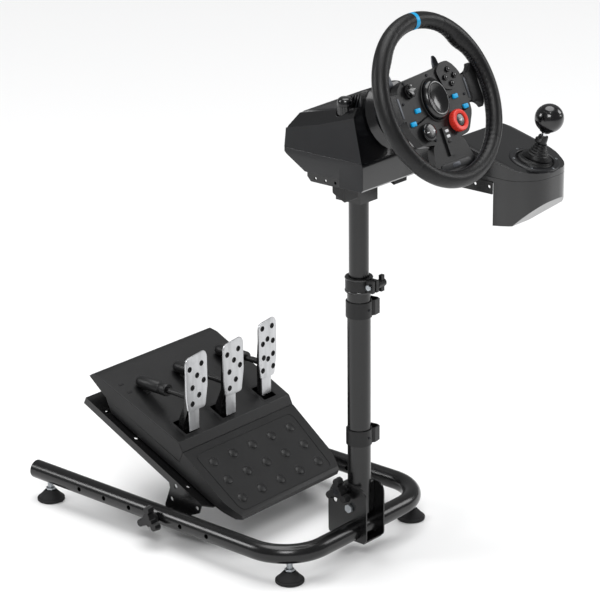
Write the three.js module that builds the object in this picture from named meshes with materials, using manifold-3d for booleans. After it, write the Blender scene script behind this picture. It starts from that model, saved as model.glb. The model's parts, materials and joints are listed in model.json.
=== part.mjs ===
// Racing wheel on a folding stand: a U-shaped tube base with levelling feet, a telescoping column,
// a wheel unit with its rim and controls, a gear shifter and a set of three pedals on a sloped tray.
// Millimetres, +Z up. The driver sits on the -Y side and looks along +Y. +X is the driver's right.
import * as THREE from "three";
import { mergeVertices } from "three/addons/utils/BufferGeometryUtils.js";
import Module from "manifold-3d";

const wasm = await Module();
wasm.setup();

// ---------- driving dimensions ----------
const GAP = 0.3;              // clearance between pieces that touch
const SLIP = 0.5;             // clearance round a piece that slides or turns

// U-shaped base
const TUBE_R = 17.5;
const TUBE_WALL = 1.5;
const LEG_SPAN = 392;         // between the leg centre lines
const LEG_LENGTH = 640;       // from the cross bar's centre line to the open ends
const BEND_R = 83;
const TUBE_Z = 53;            // height of the tube's centre line
const HOLE_PITCH = 64.6;      // adjusting holes along each leg
const FIRST_HOLE = 185;
const HOLE_COUNT = 6;
const BOLT_R = 4;
const BOLT_HOLE_R = BOLT_R + SLIP;
const KNOB_HOLE = 2;          // the tray is bolted at this hole of the row
const FOOT_R = 26;
const FOOT_PAD_H = 24;
const FOOT_STUD_R = 5;
const REAR_FOOT_Y = 604;

// column and its bracket
const COLUMN_Y = 7;
const INNER_R = 17.5;
const OUTER_WALL = 2;
const SLIDE_GAP = 1.2;        // between the two tubes
const OUTER_R = INNER_R + SLIDE_GAP + OUTER_WALL;
const INNER_WALL = 1.5;
const OUTER_TOP = 515;
const OUTER_FOOT = 88;
const COLLAR_H = 26;
const INNER_BOTTOM = 330;
const BRACKET_X = 26;         // outer face of each bracket plate
const BRACKET_T = 3;
const BRACKET_BACK = 58;
const BRACKET_FRONT = -30;
const BRACKET_BOTTOM = 33;
const BRACKET_TOP = 138;
const PIVOT_Z = 95;
const LOCK_R = 36;            // distance from the pivot to the arc slot
const CLIP_H = 29;
const HOOK_TUBE_R = 20.7;     // tube radius that the hook's outline is drawn for
const CLIP_UPPER_Z = OUTER_TOP - 62;
const CLIP_LOWER_Z = 213;

// wheel deck
const DECK_X = 88;
const DECK_FRONT = -33;
const DECK_BACK = 47;
const DECK_TOP = 728;
const DECK_T = 3;
const FLANGE_H = 16;
const HEAD_BOTTOM = 665;

// wheel unit
const BASE_X = 104;
const BASE_FRONT = -88;
const BASE_BACK = 84;
const SPLIT_Z = 768;          // seam between the lower and upper shells
const DROP_Z = 719;           // underside of the part that hangs in front of the deck
const SHELL_T = 2.5;
const CLAMP_X = 66;
const CLAMP_Y = -19;
const CLAMP_KNOB_Z = 838;

// steering axis: a line through the rim's centre, tilted up towards the driver
const RIM_CENTRE = new THREE.Vector3(0, -163, 870);
const AXIS_TILT = THREE.MathUtils.degToRad(24.35);
const RIM_R = 135;
const GRIP_R = 15.6;
const FRONT_W = -113;         // front wall of the wheel unit, measured along the axis
const SHAFT_R = 17;
const FACE_W = -8;            // face of the hub
const SPOKE_BACK_W = -24;
const HUB_BACK_W = -45;

// shifter
const SHIFT_X0 = 176;
const SHIFT_X1 = 322;
const SHIFT_DECK_TOP = 684;
const SHIFT_DECK_FRONT = -146;
const SHIFT_FRONT = -226;
const SHIFT_BACK = -62;
const SHIFT_SPLIT = 692;
const SHIFT_BOTTOM = 605;
const SHIFT_TILT = THREE.MathUtils.degToRad(15);
const LEVER_LEAN = THREE.MathUtils.degToRad(6);
const RING_CENTRE = new THREE.Vector3(247, -184, 714);
const LEVER_PIVOT = 34;       // pivot below the top face
const BALL_R = 25.5;
const BALL_UP = 79;           // ball centre above the top face

// pedals
const TRAY_SLOPE = THREE.MathUtils.degToRad(25);
const TRAY_X = 170;
const TRAY_LENGTH = 333;
const TRAY_T = 3;
const TRAY_FLANGE = 14;
const TRAY_Y = 223;
const TRAY_Z = 79;
const PEDAL_X = { clutch: -105, brake: -6, accelerator: 110 };
const PEDAL_PIVOT = { y: 335, z: 163 };
const PIVOT_R = 6;
const PEDAL_HALF = 20.5;      // from a pedal's centre to the stands that hold its pivot
const STAND_HALF = 9;         // half the length of a pivot's stand
const STAND_T = 4;
const SPRING_Z = 252;
const SPRING_R = 12;
const SPRING_BACK = 452;
const SPRING_FRONT = 374;
const ROD_R = 5.5;
const ROD_TRAVEL = 26;

// ---------- materials ----------
const finish = (color, roughness, metalness = 0) =>
  new THREE.MeshStandardMaterial({ color, roughness, metalness });
const coatedSteel = finish(0x17181a, 0.42, 0.3);
const blackPlastic = finish(0x141416, 0.5);
const glossPlastic = finish(0x0c0c0e, 0.2);
const rubber = finish(0x101011, 0.8);
const leather = finish(0x1b1b1d, 0.6);
const bareSteel = finish(0xb9bcc0, 0.35, 1);
const bluePlastic = finish(0x12a5dc, 0.35);
const redPlastic = finish(0xd8342c, 0.4);

// ---------- geometry helpers ----------
function solid(geometry) {
  const plain = geometry.index ? geometry.toNonIndexed() : geometry.clone();
  for (const name of Object.keys(plain.attributes)) {
    if (name !== "position") plain.deleteAttribute(name);
  }
  const merged = mergeVertices(plain, 1e-3);
  return new wasm.Manifold(
    new wasm.Mesh({
      numProp: 3,
      vertProperties: new Float32Array(merged.attributes.position.array),
      triVerts: new Uint32Array(merged.index.array),
    }),
  );
}

function geometryOf(body) {
  const mesh = body.getMesh();
  const count = mesh.vertProperties.length / mesh.numProp;
  const positions = new Float32Array(count * 3);
  for (let i = 0; i < count; i += 1) {
    positions.set(mesh.vertProperties.subarray(i * mesh.numProp, i * mesh.numProp + 3), i * 3);
  }
  const geometry = new THREE.BufferGeometry();
  geometry.setAttribute("position", new THREE.BufferAttribute(positions, 3));
  geometry.setIndex(new THREE.BufferAttribute(new Uint32Array(mesh.triVerts), 1));
  geometry.computeVertexNormals();
  return geometry;
}

const join = (...bodies) => bodies.reduce((a, b) => a.add(b));
const cut = (body, ...tools) => tools.reduce((a, b) => a.subtract(b), body);

// A box from its lowest to its highest corner.
function box(x0, x1, y0, y1, z0, z1) {
  const geometry = new THREE.BoxGeometry(x1 - x0, y1 - y0, z1 - z0);
  return solid(geometry.translate((x0 + x1) / 2, (y0 + y1) / 2, (z0 + z1) / 2));
}

// A cylinder between two points, which may taper.
function rod(from, to, r0, r1 = r0, sides = 16) {
  const a = new THREE.Vector3(...from);
  const b = new THREE.Vector3(...to);
  const along = b.clone().sub(a);
  const geometry = new THREE.CylinderGeometry(r1, r0, along.length(), sides);
  const turn = new THREE.Quaternion().setFromUnitVectors(
    new THREE.Vector3(0, 1, 0),
    along.clone().normalize(),
  );
  geometry.applyQuaternion(turn);
  geometry.translate(...a.add(b).multiplyScalar(0.5).toArray());
  return solid(geometry);
}

// A closed outline with its corners rounded.
function outline(points, radius = 0) {
  const shape = new THREE.Shape();
  const count = points.length;
  points.forEach((point, i) => {
    const here = new THREE.Vector2(...point);
    const before = new THREE.Vector2(...points[(i + count - 1) % count]);
    const after = new THREE.Vector2(...points[(i + 1) % count]);
    const towards = (other) => {
      const reach = Math.min(radius, here.distanceTo(other) / 2.2);
      return other.clone().sub(here).setLength(reach).add(here);
    };
    if (radius === 0) {
      if (i === 0) shape.moveTo(here.x, here.y);
      else shape.lineTo(here.x, here.y);
      return;
    }
    const start = towards(before);
    const end = towards(after);
    if (i === 0) shape.moveTo(start.x, start.y);
    else shape.lineTo(start.x, start.y);
    shape.quadraticCurveTo(here.x, here.y, end.x, end.y);
  });
  shape.closePath();
  return shape;
}

const extrude = (shape, depth, curveSegments) =>
  new THREE.ExtrudeGeometry(shape, { depth, bevelEnabled: false, curveSegments });

// An outline in (y, z) that runs from x0 to x1.
function sideProfile(points, x0, x1, radius = 0, segments = 3) {
  const geometry = extrude(outline(points, radius), x1 - x0, segments);
  const basis = new THREE.Matrix4().makeBasis(
    new THREE.Vector3(0, 1, 0),
    new THREE.Vector3(0, 0, 1),
    new THREE.Vector3(1, 0, 0),
  );
  return solid(geometry.applyMatrix4(basis).translate(x0, 0, 0));
}

// An outline in (x, z) that runs from y0 to y1, sheared upwards by slope per unit of -y.
function frontProfile(points, y0, y1, radius = 0, slope = 0) {
  const geometry = extrude(outline(points, radius), y1 - y0, 3);
  geometry.rotateX(Math.PI / 2).translate(0, y1, 0);
  const shear = new THREE.Matrix4().set(1, 0, 0, 0, 0, 1, 0, 0, 0, -slope, 1, 0, 0, 0, 0, 1);
  return solid(geometry.applyMatrix4(shear));
}

// An outline in (x, y) that runs from z0 to z1.
function planProfile(points, z0, z1, radius = 0, segments = 3) {
  return solid(extrude(outline(points, radius), z1 - z0, segments).translate(0, 0, z0));
}

// A profile of [radius, height] pairs turned about the Z axis at (x, y).
function turned(profile, x = 0, y = 0, sides = 24, flatten = 1) {
  const points = profile.map(([r, z]) => new THREE.Vector2(r, z));
  const geometry = new THREE.LatheGeometry(points, sides);
  geometry.rotateX(Math.PI / 2);
  return solid(geometry.scale(flatten, 1, 1).translate(x, y, 0));
}

const rectangle = (x0, x1, y0, y1) => [[x0, y0], [x1, y0], [x1, y1], [x0, y1]];

const model = new THREE.Group();
function place(name, body, material, parent = model) {
  const mesh = new THREE.Mesh(geometryOf(body), material);
  mesh.name = name;
  parent.add(mesh);
  return mesh;
}

// ---------- U-shaped base ----------
const legX = LEG_SPAN / 2;
const footX = legX - BEND_R * (1 - Math.SQRT1_2);
const footY = BEND_R * (1 - Math.SQRT1_2);
const FEET = {
  front_left: [-footX, footY],
  front_right: [footX, footY],
  rear_left: [-legX, REAR_FOOT_Y],
  rear_right: [legX, REAR_FOOT_Y],
};
const holeY = (index) => FIRST_HOLE + HOLE_PITCH * index;
const knobY = holeY(KNOB_HOLE);

// The tube's centre line: leg, bend, cross bar, bend, leg. Each straight is one step of the sweep
// and each bend is BEND_STEPS of them.
const BEND_STEPS = 6;
const PATH_STEPS = 2 * BEND_STEPS + 3;
class UPath extends THREE.Curve {
  constructor(overrun) {
    super();
    this.overrun = overrun;
  }
  getUtoTmapping(u) {
    return u;
  }
  getPoint(t, target = new THREE.Vector3()) {
    const mirrored = t > 0.5;
    const step = PATH_STEPS * (mirrored ? 1 - t : t);
    const side = mirrored ? 1 : -1;
    if (step <= 1) {
      const end = LEG_LENGTH + this.overrun;
      return target.set(side * legX, end + (BEND_R - end) * step, TUBE_Z);
    }
    if (step <= 1 + BEND_STEPS) {
      const angle = (Math.PI / 2) * ((step - 1) / BEND_STEPS);
      const x = legX - BEND_R + BEND_R * Math.cos(angle);
      return target.set(side * x, BEND_R - BEND_R * Math.sin(angle), TUBE_Z);
    }
    const along = 1 - 2 * (step - 1 - BEND_STEPS);
    return target.set(side * (legX - BEND_R) * along, 0, TUBE_Z);
  }
}

function uTube(radius, sides, overrun) {
  const section = new THREE.Shape();
  section.absarc(0, 0, radius, 0, Math.PI * 2);
  const sweep = { steps: PATH_STEPS, extrudePath: new UPath(overrun), curveSegments: sides / 2 };
  return solid(new THREE.ExtrudeGeometry(section, sweep));
}

function baseTube() {
  let tube = cut(uTube(TUBE_R, 16, 0), uTube(TUBE_R - TUBE_WALL, 12, 5));
  for (const side of [-1, 1]) {
    for (let i = 0; i < HOLE_COUNT; i += 1) {
      const reach = TUBE_R + 2;
      const from = [side * legX - reach, holeY(i), TUBE_Z];
      const to = [side * legX + reach, holeY(i), TUBE_Z];
      tube = cut(tube, rod(from, to, BOLT_HOLE_R, BOLT_HOLE_R, 8));
    }
  }
  for (const [x, y] of Object.values(FEET)) {
    const hole = FOOT_STUD_R + SLIP;
    tube = cut(tube, rod([x, y, TUBE_Z - TUBE_R - 4], [x, y, TUBE_Z], hole, hole, 8));
  }
  return tube;
}

// A levelling foot: a rubber cone on a threaded stud that screws up into the tube.
function foot(x, y) {
  const studTop = TUBE_Z - 4;
  return turned(
    [[0, 0], [FOOT_R, 0], [FOOT_R, 5], [9, FOOT_PAD_H - 2], [FOOT_STUD_R, FOOT_PAD_H],
      [FOOT_STUD_R, studTop], [0, studTop]],
    x, y, 16,
  );
}

place("base_tube", baseTube(), coatedSteel);
for (const [corner, [x, y]] of Object.entries(FEET)) place(`foot_${corner}`, foot(x, y), rubber);

// ---------- column bracket, pivot and knobs ----------
// A three-lobed clamping knob with its threaded bolt, lying along X and facing away from the centre.
function starKnob(side, faceX, y, z, boltEnd) {
  const hub = rod([side * (faceX + GAP), y, z], [side * (faceX + 19), y, z], 12, 10, 12);
  const lobes = [90, 210, 330].map((degrees) => {
    const angle = THREE.MathUtils.degToRad(degrees);
    const dy = 19 * Math.cos(angle);
    const dz = 19 * Math.sin(angle);
    const x = [side * (faceX + 7), side * (faceX + 20)];
    const from = [x[0], y + dy, z + dz];
    return join(
      rod(from, [x[1], y + dy, z + dz], 8, 7, 8),
      rod([x[0], y + dy / 3, z + dz / 3], [x[1], y + dy / 3, z + dz / 3], 9, 8, 8),
    );
  });
  const bolt = rod([side * (faceX + 5), y, z], [side * boltEnd, y, z], BOLT_R, BOLT_R, 12);
  return join(hub, ...lobes, bolt);
}

// The lock bolt sits in the arc slot, behind and above the pivot.
const lockAngle = THREE.MathUtils.degToRad(62);
const lockY = COLUMN_Y + LOCK_R * Math.cos(lockAngle);
const lockZ = PIVOT_Z + LOCK_R * Math.sin(lockAngle);
const SLOT_SWEEP = 52;        // degrees of arc cut in each bracket plate

function arcSlot() {
  const shape = new THREE.Shape();
  const from = lockAngle - THREE.MathUtils.degToRad(SLOT_SWEEP);
  const to = lockAngle + THREE.MathUtils.degToRad(4);
  const half = BOLT_R + SLIP;
  shape.absarc(COLUMN_Y, PIVOT_Z, LOCK_R + half, from, to, false);
  const tip = (angle) => [COLUMN_Y + LOCK_R * Math.cos(angle), PIVOT_Z + LOCK_R * Math.sin(angle)];
  shape.absarc(...tip(to), half, to, to + Math.PI, false);
  shape.absarc(COLUMN_Y, PIVOT_Z, LOCK_R - half, to, from, true);
  shape.absarc(...tip(from), half, from + Math.PI, from + 2 * Math.PI, false);
  const points = shape.getPoints(6).map((p) => [p.x, p.y]);
  return sideProfile(points, -BRACKET_X - 5, BRACKET_X + 5);
}

function columnBracket() {
  const edge = [
    [BRACKET_FRONT, BRACKET_BOTTOM], [BRACKET_BACK, BRACKET_BOTTOM],
    [BRACKET_BACK, 112], [44, BRACKET_TOP], [-20, BRACKET_TOP], [BRACKET_FRONT, 126],
  ];
  const plates = [-1, 1].map((side) => {
    const x = [side * BRACKET_X, side * (BRACKET_X - BRACKET_T)].sort((a, b) => a - b);
    return sideProfile(edge, x[0], x[1], 10);
  });
  const web = box(1 - BRACKET_X, BRACKET_X - 1, BRACKET_FRONT + 6, BRACKET_BACK - 12,
    BRACKET_BOTTOM - 1.5, BRACKET_BOTTOM + 1.5);
  const barHole = rod([-60, 0, TUBE_Z], [60, 0, TUBE_Z], TUBE_R + GAP, TUBE_R + GAP, 20);
  const pivotHole = rod([-60, COLUMN_Y, PIVOT_Z], [60, COLUMN_Y, PIVOT_Z], 5 + SLIP, 5 + SLIP, 12);
  const flatEdge = box(-80, 80, BRACKET_FRONT - 20, BRACKET_BACK + 20, 0, BRACKET_BOTTOM - 1.5);
  return cut(join(...plates, web), barHole, pivotHole, arcSlot(), flatEdge);
}

// The pivot bolt has a head on one side and a nut on the other.
function pivotBolt() {
  const end = BRACKET_X + GAP;
  const at = (x) => [x, COLUMN_Y, PIVOT_Z];
  return join(
    rod(at(-end - 6), at(-end), 8.5, 8.5, 6),
    rod(at(-end - 1), at(end + 1), 5, 5, 12),
    rod(at(end), at(end + 7), 8.5, 8.5, 6),
  );
}

place("column_bracket", columnBracket(), coatedSteel);
place("pivot_bolt", pivotBolt(), bareSteel);
place("tilt_knob_left", starKnob(-1, BRACKET_X, lockY, lockZ, OUTER_R + 1), blackPlastic);
place("tilt_knob_right", starKnob(1, BRACKET_X, lockY, lockZ, OUTER_R + 1), blackPlastic);

// ---------- telescoping column ----------
function outerColumn() {
  const centre = (z) => [0, COLUMN_Y, z];
  const foot = [
    [COLUMN_Y - 18, OUTER_FOOT - 8], [COLUMN_Y + 18, OUTER_FOOT - 8],
    [lockY + 12, lockZ - 4], [lockY + 8, lockZ + 12], [COLUMN_Y - 16, lockZ + 12],
  ];
  const halfBlock = BRACKET_X - BRACKET_T - GAP;
  const tube = join(
    rod(centre(OUTER_FOOT - 8), centre(OUTER_TOP), OUTER_R, OUTER_R, 24),
    sideProfile(foot, -halfBlock, halfBlock, 6),
  );
  const bore = rod(centre(lockZ + 20), centre(OUTER_TOP + 5), OUTER_R - OUTER_WALL,
    OUTER_R - OUTER_WALL, 20);
  const pivot = rod([-60, COLUMN_Y, PIVOT_Z], [60, COLUMN_Y, PIVOT_Z], 5 + SLIP, 5 + SLIP, 12);
  const lock = rod([-60, lockY, lockZ], [60, lockY, lockZ], BOLT_R + SLIP, BOLT_R + SLIP, 12);
  return cut(tube, bore, pivot, lock);
}

// A cable clip: an open plastic band round the tube with a hook on the driver's right.
function cableClip(z) {
  const inner = OUTER_R + GAP;
  const band = cut(
    rod([0, COLUMN_Y, z], [0, COLUMN_Y, z + CLIP_H], inner + 2.4, inner + 2.4, 20),
    rod([0, COLUMN_Y, z - 1], [0, COLUMN_Y, z + CLIP_H + 1], inner, inner, 20),
  );
  const hookScale = OUTER_R / HOOK_TUBE_R;
  const hook = [
    [12, -17.5], [18, -22], [33, -20], [36, -12], [34, 1], [23.5, 5],
    [22.9, 2.6], [31.5, -0.6], [33.4, -11.6], [31.4, -17.6], [18.6, -19.4], [14, -15.6],
  ].map(([x, y]) => [x * hookScale, y * hookScale + COLUMN_Y]);
  const outside = rod([0, COLUMN_Y, z - 1], [0, COLUMN_Y, z + CLIP_H + 1], inner, inner, 20);
  return join(band, cut(planProfile(hook, z + 1, z + CLIP_H - 1), outside));
}

// The height clamp: a split collar on top of the outer tube, closed by a wing screw.
function heightCollar() {
  const rings = [
    [OUTER_R + GAP, OUTER_TOP - 14], [OUTER_R + 3.4, OUTER_TOP - 14],
    [OUTER_R + 3.4, OUTER_TOP + COLLAR_H - 14], [INNER_R + 0.9, OUTER_TOP + COLLAR_H - 14],
    [INNER_R + 0.9, OUTER_TOP + GAP], [OUTER_R + GAP, OUTER_TOP + GAP],
    [OUTER_R + GAP, OUTER_TOP - 14],
  ];
  const ring = turned(rings, 0, COLUMN_Y, 24);
  const z = [OUTER_TOP - 12, OUTER_TOP + COLLAR_H - 16];
  const ears = box(-9, 9, COLUMN_Y - OUTER_R - 17, COLUMN_Y - OUTER_R - 2, ...z);
  const split = box(-1.6, 1.6, COLUMN_Y - OUTER_R - 20, COLUMN_Y - INNER_R + 4, OUTER_TOP - 20,
    OUTER_TOP + COLLAR_H);
  const screw = rod([-20, COLUMN_Y - OUTER_R - 10, OUTER_TOP - 1],
    [40, COLUMN_Y - OUTER_R - 10, OUTER_TOP - 1], 3 + SLIP, 3 + SLIP, 10);
  return cut(join(ring, ears), split, screw);
}

function heightKnob() {
  const y = COLUMN_Y - OUTER_R - 10;
  const z = OUTER_TOP - 1;
  const wing = (sign) =>
    box(20, 29, y - 3.5, y + 3.5, Math.min(z, z + sign * 15), Math.max(z, z + sign * 15));
  return join(
    rod([-11, y, z], [12, y, z], 3, 3, 10),
    rod([9 + GAP, y, z], [31, y, z], 8, 7, 12),
    wing(1),
    wing(-1),
  );
}

function innerColumn() {
  const top = DECK_TOP - DECK_T - GAP;
  const outside = rod([0, COLUMN_Y, INNER_BOTTOM], [0, COLUMN_Y, top], INNER_R, INNER_R, 24);
  const bore = rod([0, COLUMN_Y, INNER_BOTTOM - 1], [0, COLUMN_Y, top + 1], INNER_R - INNER_WALL,
    INNER_R - INNER_WALL, 16);
  return cut(outside, bore);
}

place("outer_column", outerColumn(), coatedSteel);
place("cable_clip_upper", cableClip(CLIP_UPPER_Z), blackPlastic);
place("cable_clip_lower", cableClip(CLIP_LOWER_Z), blackPlastic);
place("height_collar", heightCollar(), blackPlastic);
place("height_knob", heightKnob(), blackPlastic);
place("inner_column", innerColumn(), coatedSteel);

// ---------- wheel deck with its head socket ----------
function wheelDeck() {
  const bottom = DECK_TOP - DECK_T;
  const plate = box(-DECK_X, DECK_X, DECK_FRONT, DECK_BACK, bottom, DECK_TOP);
  const flangeEdge = [
    [DECK_FRONT, DECK_TOP], [DECK_FRONT, DECK_TOP - FLANGE_H], [DECK_BACK - 8, DECK_TOP - FLANGE_H],
    [DECK_BACK, DECK_TOP - 8], [DECK_BACK, DECK_TOP],
  ];
  const flanges = [-1, 1].map((side) => {
    const x = [side * DECK_X, side * (DECK_X - DECK_T)].sort((a, b) => a - b);
    return sideProfile(flangeEdge, x[0], x[1]);
  });
  const socket = box(-23, 23, COLUMN_Y - 23, COLUMN_Y + 32, HEAD_BOTTOM, bottom + 1);
  const bore = rod([0, COLUMN_Y, HEAD_BOTTOM - 1], [0, COLUMN_Y, bottom], INNER_R + GAP,
    INNER_R + GAP, 24);
  const flangeHoles = [-15, 7, 29].flatMap((y) => [-1, 1].map((side) =>
    rod([side * (DECK_X + 2), y, DECK_TOP - 9], [side * (DECK_X - 6), y, DECK_TOP - 9], 2.6, 2.6, 8)));
  const slots = [-1, 1].map((side) =>
    rod([side * CLAMP_X, CLAMP_Y, bottom - 1], [side * CLAMP_X, CLAMP_Y, DECK_TOP + 1], 6, 6, 12));
  const hollow = box(-19, 19, COLUMN_Y + 20, COLUMN_Y + 28, HEAD_BOTTOM - 1, bottom - 3);
  return cut(join(plate, ...flanges, socket), bore, hollow, ...flangeHoles, ...slots);
}
place("wheel_deck", wheelDeck(), coatedSteel);

// ---------- wheel unit housing ----------
// Local frame of everything that turns about the steering axis: +Z points to the driver along the
// axis and +Y points up in the rim's plane.
const wheelFrame = new THREE.Group();
wheelFrame.position.copy(RIM_CENTRE);
wheelFrame.rotation.x = Math.PI / 2 - AXIS_TILT;
model.add(wheelFrame);
wheelFrame.updateMatrixWorld(true);

const onAxis = (u, v, w) => new THREE.Vector3(u, v, w).applyMatrix4(wheelFrame.matrixWorld).toArray();
const frontY = (z) => {
  const foot = onAxis(0, 0, FRONT_W);
  return foot[1] + (z - foot[2]) * Math.tan(AXIS_TILT);
};

const SHOULDER_SLOPE = 0.236;
const HUMP_SLOPE = 0.44;
function upperShape(inset, floor) {
  const front = inset / Math.cos(AXIS_TILT);
  const body = sideProfile(
    [[BASE_BACK - inset, floor], [BASE_BACK + 3 - inset, 802], [BASE_BACK - 6 - inset, 822 - inset],
      [frontY(851) + front, 851 - inset], [frontY(floor) + front, floor]],
    -120, 120,
  );
  const lean = frontProfile(
    [[-BASE_X + inset, floor], [BASE_X - inset, floor], [BASE_X - 33 + inset, floor + 130],
      [-BASE_X + 33 - inset, floor + 130]],
    -120, 120,
  );
  const top = 820 - inset;
  const shoulder = frontProfile(
    [[-120, 650], [120, 650], [120, top], [92, top], [70, top + 20], [-70, top + 20], [-92, top],
      [-120, top]],
    -120, 120, 0, SHOULDER_SLOPE,
  );
  const humpSide = sideProfile(
    [[97 - inset, 790], [99 - inset, 809], [92 - inset, 817 - inset],
      [frontY(873) + 3, 873 - inset], [frontY(872) + front, 872 - inset],
      [frontY(floor + 30) + front, floor + 30]],
    -120, 120,
  );
  const ridge = 858 - inset;
  const humpFront = frontProfile(
    [[-58 + inset, 700], [58 - inset, 700], [58 - inset, ridge - 26], [50 - inset, ridge - 5],
      [42 - inset, ridge], [-42 + inset, ridge], [-50 + inset, ridge - 5], [-58 + inset, ridge - 26]],
    -140, 140, 0, HUMP_SLOPE,
  );
  const low = body.intersect(lean).intersect(shoulder);
  return low.add(humpSide.intersect(humpFront));
}

function baseUpperShell() {
  const shell = cut(upperShape(0, SPLIT_Z + GAP), upperShape(SHELL_T, SPLIT_Z - 5));
  const boss = cut(
    rod(onAxis(0, 0, FRONT_W - 1), onAxis(0, 0, FRONT_W + 14), 58, 50, 24),
    rod(onAxis(0, 0, FRONT_W - 2), onAxis(0, 0, FRONT_W + 15), SHAFT_R + SLIP, SHAFT_R + SLIP, 24),
  );
  const bore = rod(onAxis(0, 0, FRONT_W - 8), onAxis(0, 0, FRONT_W + 20), SHAFT_R + SLIP,
    SHAFT_R + SLIP, 24);
  const screws = [-1, 1].map((side) =>
    rod([side * CLAMP_X, CLAMP_Y, 760], [side * CLAMP_X, CLAMP_Y, 900], 5.5, 5.5, 12));
  const seats = [-1, 1].map((side) =>
    rod([side * CLAMP_X, CLAMP_Y, CLAMP_KNOB_Z - 10], [side * CLAMP_X, CLAMP_Y, 930], 15.5, 15.5, 16));
  const pads = [-1, 1].map((side) =>
    rod([side * CLAMP_X, CLAMP_Y, CLAMP_KNOB_Z - 16], [side * CLAMP_X, CLAMP_Y, CLAMP_KNOB_Z - 4],
      19, 17, 16));
  return cut(join(shell, boss, ...pads), bore, ...seats, ...screws);
}

function baseLowerShell() {
  const bottom = DECK_TOP + GAP;
  const build = (inset, top) => {
    const rear = sideProfile(
      [[BASE_BACK - inset, top], [BASE_BACK - inset, 761], [49 - inset, bottom + inset],
        [DECK_FRONT - 3 - inset, bottom + inset], [DECK_FRONT - 3 - inset, top]],
      -120, 120,
    ).intersect(frontProfile(
      [[-BASE_X + inset, top], [-BASE_X + inset, 757], [-92 + inset, bottom + inset],
        [92 - inset, bottom + inset], [BASE_X - inset, 757], [BASE_X - inset, top]],
      -120, 120,
    ));
    const drop = sideProfile(
      [[DECK_FRONT - 3 - inset, top], [DECK_FRONT - 3 - inset, DROP_Z + inset],
        [BASE_FRONT + 4 + inset, DROP_Z + inset], [BASE_FRONT + inset, DROP_Z + 4 + inset],
        [BASE_FRONT + inset, 761], [frontY(SPLIT_Z) + inset, SPLIT_Z], [frontY(SPLIT_Z) + inset, top]],
      -BASE_X + inset, BASE_X - inset,
    );
    return join(rear, drop);
  };
  const shell = cut(build(0, SPLIT_Z), build(SHELL_T, SPLIT_Z + 5));
  const screws = [-1, 1].map((side) =>
    rod([side * CLAMP_X, CLAMP_Y, 700], [side * CLAMP_X, CLAMP_Y, 780], 5.5, 5.5, 12));
  return cut(shell, ...screws);
}

// A clamp knob on top of the housing, with the screw that pulls its foot up under the deck.
function clampKnob(side) {
  const x = side * CLAMP_X;
  const z = CLAMP_KNOB_Z - 10 + GAP;
  const profile = [[0, z], [14, z], [14, z + 18], [13, z + 28], [9, z + 34], [0, z + 36]];
  return join(
    turned(profile, x, CLAMP_Y, 16),
    rod([x, CLAMP_Y, DECK_TOP - DECK_T - 34], [x, CLAMP_Y, z + 4], 4, 4, 12),
  );
}

function clampFoot(side) {
  const x = side * CLAMP_X;
  const top = DECK_TOP - DECK_T - GAP;
  const pad = sideProfile(
    [[CLAMP_Y + 15, top], [CLAMP_Y + 15, top - 26], [CLAMP_Y - 13, top - 39],
      [CLAMP_Y - 13, top]],
    x - 17, x + 17, 3,
  );
  const rear = cut(pad, box(-200, 200, DECK_FRONT - 200, DECK_FRONT - 2.7, 600, 900));
  return cut(rear, rod([x, CLAMP_Y, 600], [x, CLAMP_Y, 760], 4 + SLIP, 4 + SLIP, 12));
}

place("base_lower_shell", baseLowerShell(), glossPlastic);
place("base_upper_shell", baseUpperShell(), glossPlastic);
for (const [label, side] of [["left", -1], ["right", 1]]) {
  place(`clamp_knob_${label}`, clampKnob(side), glossPlastic);
  place(`clamp_foot_${label}`, clampFoot(side), blackPlastic);
}

// ---------- drive motor and steering shaft ----------
const GEAR_R = 27;
const PINION_R = 8;
const GEAR_W = -146;
const MOTOR_U = GEAR_R + PINION_R + 1;
function driveMotor() {
  return join(
    rod([-MOTOR_U, 0, -178], [-MOTOR_U, 0, -157], 15, 15, 16),
    rod([-MOTOR_U, 0, -158], [-MOTOR_U, 0, GEAR_W + 5], PINION_R, PINION_R, 12),
  );
}
function steeringShaft() {
  return join(
    rod([0, 0, HUB_BACK_W - GAP], [0, 0, FRONT_W - 8], SHAFT_R, SHAFT_R, 24),
    rod([0, 0, FRONT_W - 7], [0, 0, -186], 9, 9, 16),
    rod([0, 0, GEAR_W - 5], [0, 0, GEAR_W + 5], GEAR_R, GEAR_R, 24),
  );
}
place("drive_motor", driveMotor(), bareSteel, wheelFrame);
place("steering_shaft", steeringShaft(), bareSteel, wheelFrame);

// ---------- rim and hub ----------
function torus(grip) {
  return solid(new THREE.TorusGeometry(RIM_R, grip, 8, 36));
}

const DIAL = [34, -43];
const PLUS_MINUS = [-44, -46];
const DPAD = [-56, 27];
const FACE_BUTTONS = { top: [51, 43], right: [63, 31], bottom: [51, 19], left: [39, 31] };
const BLUE_BUTTONS = {
  right_upper: [52, -3], right_lower: [70, -24], left_upper: [-50, -7], left_lower: [-70, -26],
};
const BUTTON_R = 4.6;
const POCKET_W = FACE_W - 6;
const PADDLE_U = 40;          // pivot line of each paddle
const PADDLE_W = -38;         // back of each paddle
const PADDLE_T = 3;

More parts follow.
